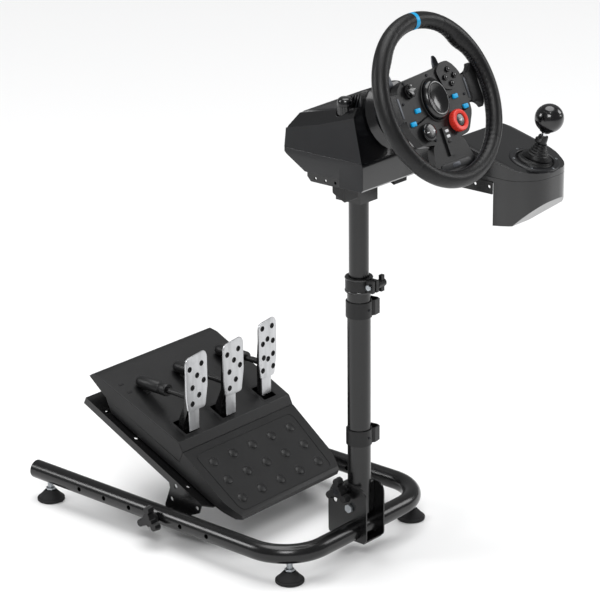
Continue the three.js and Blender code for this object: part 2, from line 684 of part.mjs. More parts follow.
function spokeFrame() {
  const hub = planProfile(
    [[-84, -34], [-64, -66], [-30, -70], [-24, -84], [24, -84], [30, -70], [60, -66], [84, -34],
      [84, 34], [66, 56], [30, 52], [-30, 48], [-66, 46], [-84, 34]],
    SPOKE_BACK_W, FACE_W, 8, 2,
  );
  const back = planProfile(rectangle(-44, 44, -40, 40), HUB_BACK_W, SPOKE_BACK_W + 1, 10, 2);
  const arms = box(-124, 124, -18, 28, SPOKE_BACK_W + 2, FACE_W);
  const lower = planProfile(
    [[-40, -70], [-52, -108], [-70, -122], [70, -122], [52, -108], [40, -70]],
    SPOKE_BACK_W + 2, FACE_W, 6, 2,
  );
  const strip = box(-9, 9, -94, -46, FACE_W - 1, FACE_W + 3.5);
  const pod = planProfile(
    [[22, 46], [30, 14], [50, 8], [80, 16], [76, 40], [58, 58], [40, 58]], FACE_W - 1, FACE_W + 3,
    6, 2,
  );
  let frame = join(hub, back, arms, lower, strip, pod);
  for (const [u, v] of Object.values(FACE_BUTTONS)) {
    frame = cut(frame, rod([u, v, POCKET_W + 3], [u, v, 20], BUTTON_R + SLIP, BUTTON_R + SLIP, 12));
  }
  for (const [u, v] of Object.values(BLUE_BUTTONS)) {
    frame = cut(frame, box(u - 6.5, u + 6.5, v - 4.5, v + 4.5, POCKET_W, 20));
  }
  for (const [u, v] of [DIAL, PLUS_MINUS, DPAD]) {
    frame = cut(frame, rod([u, v, POCKET_W], [u, v, 20], 6 + SLIP, 6 + SLIP, 12));
  }
  const pockets = [-1, 1].map((side) => {
    const u = [side * (PADDLE_U - 3), side * 46].sort((a, b) => a - b);
    return box(...u, -26, 22, PADDLE_W - 4, PADDLE_W + 6);
  });
  return cut(frame, torus(GRIP_R + GAP), ...pockets);
}

function hubCap() {
  const face = FACE_W + GAP;
  return turned(
    [[0, face], [34, face], [35, face + 3], [31, face + 9], [26, face + 11], [18, face + 7],
      [10, face + 5], [0, face + 4.5]],
    -1, 2, 24, 0.82,
  );
}

function paddle(side) {
  const shape = [[38, -22], [58, -24], [72, 6], [74, 40], [70, 70], [62, 75], [56, 60], [52, 26],
    [38, 18]].map(([u, v]) => [side * u, v]);
  if (side < 0) shape.reverse();
  return planProfile(shape, PADDLE_W, PADDLE_W + PADDLE_T, 5, 2);
}

function pushButton(u, v) {
  return turned([[0, FACE_W - 1.5], [BUTTON_R, FACE_W - 1.5], [BUTTON_R, FACE_W + 6],
    [3.2, FACE_W + 7], [0, FACE_W + 7.2]], u, v, 12);
}

function blueButton(u, v) {
  return planProfile(rectangle(u - 6, u + 6, v - 4, v + 4), POCKET_W + 2.5, FACE_W + 3, 2, 2);
}

// A control that sits on the hub face on a short stem.
function faceControl([u, v], radius, rise, clear) {
  const low = FACE_W + clear;
  return join(
    turned([[0, low], [radius - 1, low], [radius, low + 1.5], [radius, rise - 2],
      [radius - 2.5, rise], [0, rise + 0.5]], u, v, 20),
    rod([u, v, POCKET_W + 3], [u, v, low + 1], 4, 4, 10),
  );
}

place("rim", torus(GRIP_R), leather, wheelFrame);
place("spoke_frame", spokeFrame(), blackPlastic, wheelFrame);
place("hub_cap", hubCap(), glossPlastic, wheelFrame);
place("paddle_left", paddle(-1), bareSteel, wheelFrame);
place("paddle_right", paddle(1), bareSteel, wheelFrame);
for (const [label, [u, v]] of Object.entries(FACE_BUTTONS)) {
  place(`button_${label}`, pushButton(u, v), blackPlastic, wheelFrame);
}
for (const [label, [u, v]] of Object.entries(BLUE_BUTTONS)) {
  place(`blue_button_${label}`, blueButton(u, v), bluePlastic, wheelFrame);
}
place("selector_dial", faceControl(DIAL, 19, FACE_W + 13, 1), redPlastic, wheelFrame);
place("plus_minus_rocker", faceControl(PLUS_MINUS, 15.5, FACE_W + 9, 2), blackPlastic, wheelFrame);
place("dpad", faceControl(DPAD, 12.5, FACE_W + 9, 2), glossPlastic, wheelFrame);

// ---------- shifter ----------
const ARM_Z = 699;
const ARM_BACK = 19;
function shifterDeck() {
  const top = SHIFT_DECK_TOP;
  const plate = box(SHIFT_X0, SHIFT_X1 - 4, SHIFT_DECK_FRONT, ARM_BACK, top - DECK_T, top);
  const flange = sideProfile(
    [[SHIFT_DECK_FRONT, top], [SHIFT_DECK_FRONT, top - 23], [ARM_BACK - 8, top - 23],
      [ARM_BACK, top - 15], [ARM_BACK, top]],
    SHIFT_X0, SHIFT_X0 + DECK_T,
  );
  const arm = box(23 + GAP, SHIFT_X0 + 30, ARM_BACK - 18, ARM_BACK, top - DECK_T, ARM_Z);
  const holes = [-139, -109, -79].map((y) =>
    rod([SHIFT_X0 - 2, y, top - 10], [SHIFT_X0 + 6, y, top - 10], 3, 3, 8));
  return cut(join(plate, flange, arm), ...holes);
}

const shiftFrame = new THREE.Group();
shiftFrame.position.copy(RING_CENTRE);
shiftFrame.rotation.x = SHIFT_TILT;
model.add(shiftFrame);
shiftFrame.updateMatrixWorld(true);

// The gimbal turns on an axle that runs from the rear wall of the shell to its front wall.
const onShift = (x, y, z) =>
  new THREE.Vector3(x, y, z).applyMatrix4(shiftFrame.matrixWorld).toArray();
const GIMBAL_PIN_R = 4;
const GIMBAL_PIN = [-45, 22];
const SLEEVE_PIN_R = 3;
const gimbalAxle = (radius, extra) => rod(
  onShift(0, GIMBAL_PIN[0] - extra, -LEVER_PIVOT),
  onShift(0, GIMBAL_PIN[1] + extra, -LEVER_PIVOT),
  radius, radius, 12,
);

const shiftPlan = (inset, front) => [
  [SHIFT_X0 + inset, SHIFT_BACK - inset], [SHIFT_X1 - inset, SHIFT_BACK - inset],
  [SHIFT_X1 - inset, -168], [SHIFT_X1 - 34, front + inset], [SHIFT_X0 + 40, front + inset],
  [SHIFT_X0 + inset, -196],
].reverse();

function shifterLowerShell() {
  const build = (inset, top) => {
    const plan = planProfile(shiftPlan(inset, SHIFT_FRONT), SHIFT_BOTTOM - 5, top, 26, 4);
    const side = sideProfile(
      [[SHIFT_BACK + 5, top], [SHIFT_BACK + 5, SHIFT_DECK_TOP + GAP + inset],
        [SHIFT_DECK_FRONT - GAP - 2 - inset, SHIFT_DECK_TOP + GAP + inset],
        [SHIFT_DECK_FRONT - GAP - 2 - inset, SHIFT_BOTTOM + inset],
        [-188, SHIFT_BOTTOM + 6 + inset], [SHIFT_FRONT, 650 + inset], [SHIFT_FRONT - 5, top]],
      150, 350, 0,
    );
    const slant = frontProfile(
      [[150, SHIFT_BOTTOM + inset], [SHIFT_X0 + 32, SHIFT_BOTTOM + inset],
        [SHIFT_X1 + 5, 640 + inset], [SHIFT_X1 + 5, 720], [150, 720]], -300, 20,
    );
    return plan.intersect(side).intersect(slant);
  };
  const { x } = RING_CENTRE;
  const bosses = join(
    box(x - 9, x + 9, SHIFT_DECK_FRONT - 11, SHIFT_DECK_FRONT - 4, 660, SHIFT_SPLIT - 1),
    box(x - 9, x + 9, SHIFT_FRONT + 1, SHIFT_FRONT + 9, 655, SHIFT_SPLIT - 1),
  );
  const shell = cut(build(0, SHIFT_SPLIT), build(SHELL_T, SHIFT_SPLIT + 5));
  return cut(join(shell, bosses), gimbalAxle(GIMBAL_PIN_R + SLIP, 1));
}

function shifterUpperShell() {
  const slope = -Math.tan(SHIFT_TILT);
  const build = (inset, low) => {
    const plan = planProfile(shiftPlan(inset, SHIFT_FRONT), low, 800, 26, 4);
    const lid = RING_CENTRE.z - RING_CENTRE.y * -slope - inset;
    const roof = frontProfile(
      [[150, 500], [350, 500], [350, lid - 8], [SHIFT_X1 - 10, lid], [SHIFT_X0 + 10, lid],
        [150, lid - 8]], -300, 20, 0, slope,
    );
    return plan.intersect(roof);
  };
  const shell = cut(build(0, SHIFT_SPLIT + GAP), build(SHELL_T, SHIFT_SPLIT - 5));
  const { x, y, z } = RING_CENTRE;
  const normal = new THREE.Vector3(0, -Math.sin(SHIFT_TILT), Math.cos(SHIFT_TILT));
  const along = (d) => [x, y + normal.y * d, z + normal.z * d];
  const mouth = rod(along(-20), along(20), 34, 34, 24);
  return cut(shell, mouth);
}

const leverFrame = new THREE.Group();
leverFrame.position.set(0, 0, -LEVER_PIVOT);
leverFrame.rotation.y = LEVER_LEAN;
shiftFrame.add(leverFrame);

function gimbal() {
  const pin = GIMBAL_PIN_R;
  const ring = cut(box(-23, 23, -17, 17, -5, 5), box(-16, 16, -11.5, 11.5, -6, 6));
  const axle = join(
    rod([0, GIMBAL_PIN[0], 0], [0, -14, 0], pin, pin, 12),
    rod([0, 14, 0], [0, GIMBAL_PIN[1], 0], pin, pin, 12),
  );
  const pinHole = SLEEVE_PIN_R + SLIP;
  return cut(join(ring, axle), rod([-26, 0, 0], [26, 0, 0], pinHole, pinHole, 10));
}

// The gaiter hangs from the sleeve and is hollow below, where the lever turns on its pivot.
function shifterBoot() {
  const foot = LEVER_PIVOT + 1;
  const top = LEVER_PIVOT + 31;
  const hole = 7 + SLIP;
  const outside = turned([[0, foot], [24, foot], [22, foot + 10], [12, top], [0, top]], 0, 0, 16);
  const inside = turned([[0, foot - 1], [21, foot - 1], [19, foot + 9], [hole, top - 6], [hole, top + 1],
    [0, top + 1]], 0, 0, 16);
  return cut(outside, inside);
}
function leverSleeve() {
  const top = LEVER_PIVOT + 46;
  const tube = join(
    rod([0, 0, -12], [0, 0, top], 7, 7, 14),
    rod([0, 0, top - 14], [0, 0, top], 9, 9, 14),
    box(-19, -5, -5, 5, top - 10, top - 1),
    rod([-21, 0, 0], [21, 0, 0], SLEEVE_PIN_R, SLEEVE_PIN_R, 10),
  );
  return cut(tube, rod([0, 0, -14], [0, 0, top + 2], 5 + GAP, 5 + GAP, 14));
}
function shiftLever() {
  return rod([0, 0, -20], [0, 0, LEVER_PIVOT + BALL_UP - BALL_R + 3], 5, 5, 14);
}
function ballKnob() {
  const centre = LEVER_PIVOT + BALL_UP;
  const sphere = new THREE.SphereGeometry(BALL_R, 16, 10).rotateX(Math.PI / 2);
  const ball = solid(sphere.translate(0, 0, centre));
  const socketTop = centre - BALL_R + 3 + GAP;
  return cut(ball, rod([0, 0, centre - 40], [0, 0, socketTop], 5 + GAP, 5 + GAP, 14));
}

place("shifter_deck", shifterDeck(), coatedSteel);
place("shifter_lower_shell", shifterLowerShell(), glossPlastic);
place("shifter_upper_shell", shifterUpperShell(), glossPlastic);
place("shifter_boot", shifterBoot(), leather, leverFrame);
place("shifter_gimbal", gimbal(), blackPlastic, leverFrame);
place("lever_sleeve", leverSleeve(), blackPlastic, leverFrame);
place("shift_lever", shiftLever(), bareSteel, leverFrame);
place("ball_knob", ballKnob(), glossPlastic, leverFrame);

// ---------- pedal tray ----------
const trayFrame = new THREE.Group();
trayFrame.position.set(0, TRAY_Y, TRAY_Z);
trayFrame.rotation.x = TRAY_SLOPE;
model.add(trayFrame);
trayFrame.updateMatrixWorld(true);
const inTray = (y, z) => {
  const p = trayFrame.worldToLocal(new THREE.Vector3(0, y, z));
  return [p.y, p.z];
};
const boltInTray = inTray(knobY, TUBE_Z);

function pedalTray() {
  const plate = planProfile(
    [[-TRAY_X, 14], [-TRAY_X + 18, 0], [TRAY_X - 18, 0], [TRAY_X, 14], [TRAY_X, TRAY_LENGTH],
      [-TRAY_X, TRAY_LENGTH]], -TRAY_T, 0,
  );
  const [s, h] = boltInTray;
  const edge = [
    [14, 0], [12, -20], [s - 16, h - 9], [s + 8, h - 11], [s + 15, h + 2], [s + 18, -TRAY_FLANGE - 8],
    [s + 24, -TRAY_FLANGE], [TRAY_LENGTH, -TRAY_FLANGE], [TRAY_LENGTH, 0],
  ];
  const sides = [-1, 1].map((side) => {
    const x = [side * TRAY_X, side * (TRAY_X - TRAY_T)].sort((a, b) => a - b);
    return sideProfile(edge, x[0], x[1]);
  });
  const boltHoles = [[s, h], [s + 6, -40], [s + 8, -10], [20, -14]].map(([y, z]) =>
    rod([-TRAY_X - 5, y, z], [TRAY_X + 5, y, z], BOLT_R + SLIP, BOLT_R + SLIP, 8));
  const plateHoles = [];
  for (const y of [62, 205, 285]) {
    for (const x of [-158, 158]) plateHoles.push(rod([x, y, -8], [x, y, 5], 4, 4, 8));
  }
  return cut(join(plate, ...sides), ...boltHoles, ...plateHoles);
}

place("pedal_tray", pedalTray(), coatedSteel, trayFrame);
for (const [label, side] of [["left", -1], ["right", 1]]) {
  const knob = starKnob(side, legX + TUBE_R, knobY, TUBE_Z, TRAY_X - TRAY_T - 8);
  place(`tray_knob_${label}`, knob, blackPlastic);
}

// ---------- pedal housing ----------
const WELL = { front: 126, back: 168, half: 20 };
function taperedPlan(front, back, s0, s1, h0, h1) {
  return planProfile([[-front, s0], [front, s0], [back, s1], [-back, s1]], h0, h1);
}

function pedalBase() {
  const shape = sideProfile(
    [[-46, 2.5], [-56, 7], [-54, 14], [-46, 17], [102, 46.5], [102, 24], [300, 24], [276, 2.5]],
    -170, 170,
  );
  const plan = planProfile(
    [[-134, -60], [134, -60], [151, -18], [152, 102], [158, 310], [-158, 310], [-152, 102],
      [-151, -18]], -5, 80, 14, 3,
  );
  const room = taperedPlan(146, 150, 104, 272, 5.5, 30);
  const under = sideProfile(
    [[-30, 5], [-28, 16], [98, 42], [98, 5]], -140, 140,
  );
  const mouth = box(-130, 130, 40, 90, 0, 8);
  const [s, h] = inTray(PEDAL_PIVOT.y, PEDAL_PIVOT.z);
  const hole = PIVOT_R + SLIP;
  const stands = Object.values(PEDAL_X).flatMap((x) => [-1, 1].map((side) => {
    const from = x + side * PEDAL_HALF;
    const ends = [from, from + side * STAND_T].sort((a, b) => a - b);
    const stand = box(...ends, s - STAND_HALF, s + STAND_HALF, 4, h + STAND_HALF + 1);
    return cut(stand, rod([x, s, h], [from + side * STAND_HALF, s, h], hole, hole, 12));
  }));
  return join(cut(shape.intersect(plan), room, under, mouth), ...stands);
}

function coverShape(inset) {
  return sideProfile(
    [[102.4 + inset, 20], [102.4 + inset, 47 - inset], [118 + inset, 58.5 - inset],
      [326 - inset, 51.5 - inset], [344 - inset, 46 - inset], [349 - inset, 38],
      [300.5 - inset, 24.3], [300 - inset, 20]],
    -200, 200,
  ).intersect(taperedPlan(152 - inset, 161 - inset, 102.4, 349, 15, 70));
}

const springBodies = (radius, back, front) => Object.values(PEDAL_X).map((x) => {
  const rear = [x, back - radius, SPRING_Z];
  const tip = [x, back, SPRING_Z];
  return join(
    rod(rear, [x, front, SPRING_Z], radius, radius, 12),
    rod(rear, tip, radius, radius / 2, 12),
  );
});

// Solids built upright in the part's frame are carried into the tray's frame.
function toTray(body) {
  return solid(geometryOf(body).applyMatrix4(trayFrame.matrixWorld.clone().invert()));
}

// One moulded carrier holds the three spring housings from under the cover.
const CARRIER_Y = SPRING_BACK - 22;
const carrierPosts = (extra) => Object.values(PEDAL_X).map((x) =>
  box(x - 5 - extra, x + 5 + extra, CARRIER_Y - 5 - extra, CARRIER_Y + 5 + extra, SPRING_Z - 34,
    SPRING_Z - 6));

function pedalCover() {
  const low = box(-200, 200, 0, 400, 10, 24.3);
  const wells = Object.values(PEDAL_X).map((x) =>
    box(x - WELL.half, x + WELL.half, WELL.front, WELL.back, 20, 80));
  const seats = springBodies(SPRING_R + SLIP, SPRING_BACK + SLIP, SPRING_FRONT).map(toTray);
  const shell = cut(coverShape(0), coverShape(SHELL_T), low);
  return cut(shell, ...wells, ...seats, ...carrierPosts(SLIP).map(toTray));
}

function springCarrier() {
  const beam = box(PEDAL_X.clutch - 10, PEDAL_X.accelerator + 10, CARRIER_Y - 6, CARRIER_Y + 6,
    SPRING_Z - 40, SPRING_Z - 29);
  const bore = ROD_R + SLIP;
  const bores = Object.values(PEDAL_X).map((x) =>
    rod([x, SPRING_FRONT - 1, SPRING_Z], [x, SPRING_FRONT + 32 + ROD_TRAVEL, SPRING_Z], bore, bore, 10));
  const housings = springBodies(SPRING_R, SPRING_BACK, SPRING_FRONT);
  return cut(join(...housings, beam, ...carrierPosts(0)), ...bores);
}

const ARM_T = 10;
const PLATE_T = 5;
const PEDALS = {
  clutch: { left: 32, right: 24, low: 236, high: 345, lean: 302, armFront: 312 },
  brake: { left: 31, right: 23, low: 236, high: 343, lean: 302, armFront: 312 },
  accelerator: { left: 30, right: 19, low: 230, high: 346, lean: 320, armFront: 327 },
};

// A pedal: a steel arm that rises from its pivot through the cover, and the foot plate on it.
function pedal(name) {
  const { low, high, lean, armFront } = PEDALS[name];
  const x = PEDAL_X[name];
  const left = x - PEDALS[name].left;
  const right = x + PEDALS[name].right;
  const arm = sideProfile(
    [[340, 152], [328, 152], [326, 195], [armFront, 235], [armFront - 4, high - 14],
      [armFront + 4, high - 12], [armFront + ARM_T, 262], [armFront + ARM_T, 242], [337, 208]],
    x - 14, x + 14,
  );
  const reach = PEDAL_HALF + STAND_T - 0.5;
  const { y, z } = PEDAL_PIVOT;
  const pivot = rod([x - reach, y, z], [x + reach, y, z], PIVOT_R, PIVOT_R, 12);
  const plate = frontProfile(
    [[left + 4, low], [right - 7, low], [right, low + 40], [right, high - 10], [right - 6, high],
      [left + 5, high - 5], [left, high - 13], [left, low + 30]],
    lean - PLATE_T, lean, 6,
  );
  const stand = box(x - 9, x + 9, lean - 1, armFront + 2, low + 12, high - 26);
  return join(arm, pivot, plate, stand);
}

// A rod bears on the back of its pedal's arm with a rounded tip and slides into the spring housing.
function springRod(name) {
  const x = PEDAL_X[name];
  const tip = PEDALS[name].armFront + ARM_T + SLIP;
  return join(
    rod([x, tip, SPRING_Z], [x, tip + 4, SPRING_Z], 2, ROD_R, 12),
    rod([x, tip + 4, SPRING_Z], [x, SPRING_FRONT + 30, SPRING_Z], ROD_R, ROD_R, 12),
  );
}

place("pedal_base", pedalBase(), blackPlastic, trayFrame);
place("pedal_cover", pedalCover(), blackPlastic, trayFrame);
place("spring_carrier", springCarrier(), blackPlastic);
for (const label of Object.keys(PEDAL_X)) {
  place(`${label}_pedal`, pedal(label), bareSteel);
  place(`${label}_rod`, springRod(label), blackPlastic);
}

// ---------- origin at the middle of the box's underside ----------
model.updateMatrixWorld(true);
const extent = new THREE.Box3().setFromObject(model, true);
const middle = extent.getCenter(new THREE.Vector3());
model.position.set(-middle.x, -middle.y, -extent.min.z);

const racingWheel = new THREE.Group();
racingWheel.add(model);
export default racingWheel;
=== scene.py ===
"""Looks of a racing wheel on a folding tube stand, with its gear shifter and three pedals.

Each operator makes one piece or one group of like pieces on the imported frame. Sizes in the mesh code
are millimetres in a local frame, and each mesh is carried to metres by that frame's matrix.
"""

import json
import math

import bmesh
import bpy
from bpy.props import FloatProperty, FloatVectorProperty, IntProperty, PointerProperty, StringProperty
from mathutils import Matrix, Vector


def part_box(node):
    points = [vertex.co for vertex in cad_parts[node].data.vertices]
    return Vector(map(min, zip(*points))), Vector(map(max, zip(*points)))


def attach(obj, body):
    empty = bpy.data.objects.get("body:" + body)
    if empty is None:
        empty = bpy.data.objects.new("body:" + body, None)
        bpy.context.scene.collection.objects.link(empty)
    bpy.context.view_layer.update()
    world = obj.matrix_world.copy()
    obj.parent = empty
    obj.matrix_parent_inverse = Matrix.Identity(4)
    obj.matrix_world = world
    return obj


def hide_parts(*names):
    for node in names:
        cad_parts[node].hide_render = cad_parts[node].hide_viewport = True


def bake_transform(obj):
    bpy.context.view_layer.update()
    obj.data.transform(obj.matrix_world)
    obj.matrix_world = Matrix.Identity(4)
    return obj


bl_info = {
    "name": "Racing wheel stand",
    "version": (1, 0, 0),
    "blender": (4, 5, 0),
    "location": "View3D > Sidebar > Wheel stand",
    "description": "Builds the finished looks of a racing wheel stand on its packed frame",
    "category": "Object",
}

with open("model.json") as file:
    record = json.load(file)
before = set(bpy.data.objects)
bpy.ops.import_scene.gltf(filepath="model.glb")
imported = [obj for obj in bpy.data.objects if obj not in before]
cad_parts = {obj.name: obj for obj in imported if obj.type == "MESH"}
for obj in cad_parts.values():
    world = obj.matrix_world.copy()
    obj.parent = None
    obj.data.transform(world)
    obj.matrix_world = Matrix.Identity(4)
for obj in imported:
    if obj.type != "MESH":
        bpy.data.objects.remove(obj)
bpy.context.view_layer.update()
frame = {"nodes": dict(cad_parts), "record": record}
BODY_OF = {n: b for b, nodes in frame["record"]["behaviour"]["bodies"].items() for n in nodes}

# ---------- local frames ----------
RIM_CENTRE = Vector((0, -163, 870))
AXIS_TILT = math.radians(24.35)
LEVER_PIVOT = 34
LEVER_LEAN = math.radians(6)
_low, _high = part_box("rim")
ORIGIN = (_low + _high) / 2 - RIM_CENTRE / 1000
MM = Matrix.Scale(0.001, 4)
BUILD = Matrix.Translation(ORIGIN) @ MM
WHEEL = BUILD @ Matrix.Translation(RIM_CENTRE) @ Matrix.Rotation(math.pi / 2 - AXIS_TILT, 4, "X")
SHIFT = BUILD @ Matrix.Translation((247, -184, 714)) @ Matrix.Rotation(math.radians(15), 4, "X")
LEVER = SHIFT @ Matrix.Translation((0, 0, -LEVER_PIVOT)) @ Matrix.Rotation(LEVER_LEAN, 4, "Y")
TRAY = BUILD @ Matrix.Translation((0, 223, 79)) @ Matrix.Rotation(math.radians(25), 4, "X")
# Local Z along X or along Y, for turned pieces that lie on their side.
ALONG_X = Matrix.Rotation(math.pi / 2, 4, "Y")
ALONG_Y = Matrix.Rotation(-math.pi / 2, 4, "X")
# Local (x, y, z) to (z, x, y): an outline drawn from the side.
SIDE_ON = Matrix(((0, 0, 1, 0), (1, 0, 0, 0), (0, 1, 0, 0), (0, 0, 0, 1)))
# Local (x, y, z) to (x, -z, y): an upright plate drawn flat.
UPRIGHT = Matrix(((1, 0, 0, 0), (0, 0, -1, 0), (0, 1, 0, 0), (0, 0, 0, 1)))
SIDES = (("left", -1), ("right", 1))


def at(x, y, z):
    """A move to a place in a local frame."""
    return Matrix.Translation((x, y, z))


# ---------- sizes and colours that a user would change ----------
def colour(name, value, text):
    """A colour setting, held as its sRGB hex code."""
    return StringProperty(name=name, description=text, default=value)


class StandFinishes(bpy.types.PropertyGroup):
    steel: colour("Powder coat", "#0a0a0b", "Colour of the coated tubes and brackets")
    shell: colour("Shell", "#050506", "Colour of the polished housings")
    side: colour("Side panel", "#101113", "Colour of the satin sides of the wheel unit")
    moulded: colour("Moulded plastic", "#09090a", "Colour of the grained plastic")
    hide: colour("Leather", "#0a0a0b", "Colour of the rim's leather")
    blue: colour("Blue", "#069bd2", "Colour of the blue buttons and the rim's centre mark")
    red: colour("Red", "#d8372b", "Colour of the selector dial")
    plate: colour("Pedal steel", "#c3c4c6", "Colour of the brushed pedal plates")
    coat_grain: FloatProperty(
        name="Coat grain", description="Spacing of the powder coat's texture, drawn coarse enough to show",
        default=0.0022, unit="LENGTH", min=0.0002,
    )
    hide_grain: FloatProperty(
        name="Leather grain", description="Spacing of the leather's pores and creases",
        default=0.0016, unit="LENGTH", min=0.0002,
    )


class StandSizes(bpy.types.PropertyGroup):
    bevel: FloatProperty(
        name="Edge radius", description="Rounding of the sheet steel's edges",
        default=0.0008, unit="LENGTH", min=0.0,
    )
    stitches: IntProperty(
        name="Rim stitches", description="Stitches round the inside of the rim", default=168, min=12,
    )
    stitch_length: FloatProperty(
        name="Stitch length", description="Length of each stitch on the rim",
        default=0.0062, unit="LENGTH", min=0.001,
    )
    studs: IntProperty(
        name="Footrest studs across", description="Studs in each row of the footrest", default=5, min=1,
    )
    stud_pitch: FloatProperty(
        name="Stud pitch", description="Distance between studs across the footrest",
        default=0.053, unit="LENGTH", min=0.01,
    )
    camera: FloatVectorProperty(
        name="Camera", description="Place of the camera", subtype="TRANSLATION", size=3,
        default=(-3.0661 + ORIGIN.x, -2.5241 + ORIGIN.y, 1.9044),
    )
    lens: FloatProperty(
        name="Lens", description="Focal length of the camera in millimetres", default=145.64, min=10,
    )


# ---------- materials ----------
def linear(code):
    """An sRGB hex colour as a linear RGBA value."""
    parts = [int(code[i : i + 2], 16) / 255 for i in (1, 3, 5)]
    return [c / 12.92 if c <= 0.04045 else ((c + 0.055) / 1.055) ** 2.4 for c in parts] + [1.0]


def add(tree, kind, values=None, links=None, **settings):
    """Add one node with its settings, input values and links."""
    made = tree.nodes.new(kind)
    for key, value in settings.items():
        setattr(made, key, value)
    for key, value in (values or {}).items():
        made.inputs[key].default_value = value
    for key, source in (links or {}).items():
        tree.links.new(source, made.inputs[key])
    return made


MATERIALS = {}


def start(name, base, metallic=0.0, roughness=0.5, ior=None, coat=0.0, specular=0.35):
    """A new material with its shader; the pattern is added to it."""
    made = bpy.data.materials.new(name)
    made.use_nodes = True
    tree = made.node_tree
    shader = tree.nodes["Principled BSDF"]
    shader.inputs["Base Color"].default_value = linear(base)
    shader.inputs["Metallic"].default_value = metallic
    shader.inputs["Roughness"].default_value = roughness
    if ior:
        shader.inputs["IOR"].default_value = ior
    if not metallic:
        shader.inputs["Specular IOR Level"].default_value = specular
    if coat:
        shader.inputs["Coat Weight"].default_value = coat
        shader.inputs["Coat Roughness"].default_value = 0.08
    place = add(tree, "ShaderNodeTexCoord")
    MATERIALS[name] = made
    return tree, shader, place.outputs["Object"]


def shade(code, factor):
    """The same colour made lighter or darker."""
    parts = [min(255, round(int(code[i : i + 2], 16) * factor)) for i in (1, 3, 5)]
    return "#%02x%02x%02x" % tuple(parts)


def grain(tree, where, size, detail=2.0, rough=0.5, stretch=None):
    """A pattern from 0 to 1 with features of about size metres, drawn out along the small axes of stretch."""
    if stretch:
        where = add(tree, "ShaderNodeMapping", {"Scale": stretch}, {"Vector": where}).outputs["Vector"]
    made = add(tree, "ShaderNodeTexNoise", {"Scale": 1 / size, "Detail": detail, "Roughness": rough},
               {"Vector": where})
    return made.outputs["Fac"]


def dress(tree, shader, tones, gloss=None, relief=()):
    """Let patterns drive a finish: tones and gloss give a pattern and its two ends, relief its bumps."""
    pattern, dark, light = tones
    mix = add(tree, "ShaderNodeMix", {6: linear(dark), 7: linear(light)}, {0: pattern}, data_type="RGBA")
    tree.links.new(mix.outputs[2], shader.inputs["Base Color"])
    if gloss:
        pattern, low, high = gloss
        ends = add(tree, "ShaderNodeMapRange", {"To Min": low, "To Max": high}, {"Value": pattern})
        tree.links.new(ends.outputs["Result"], shader.inputs["Roughness"])
    before = None
    for pattern, strength, depth in relief:
        raised = add(tree, "ShaderNodeBump", {"Strength": strength, "Distance": depth}, {"Height": pattern})
        if before:
            tree.links.new(before, raised.inputs["Normal"])
        before = raised.outputs["Normal"]
        tree.links.new(before, shader.inputs["Normal"])


def tones_of(code, pattern, darker, lighter):
    """A finish's own colour made darker and lighter by a pattern."""
    return pattern, shade(code, darker), shade(code, lighter)


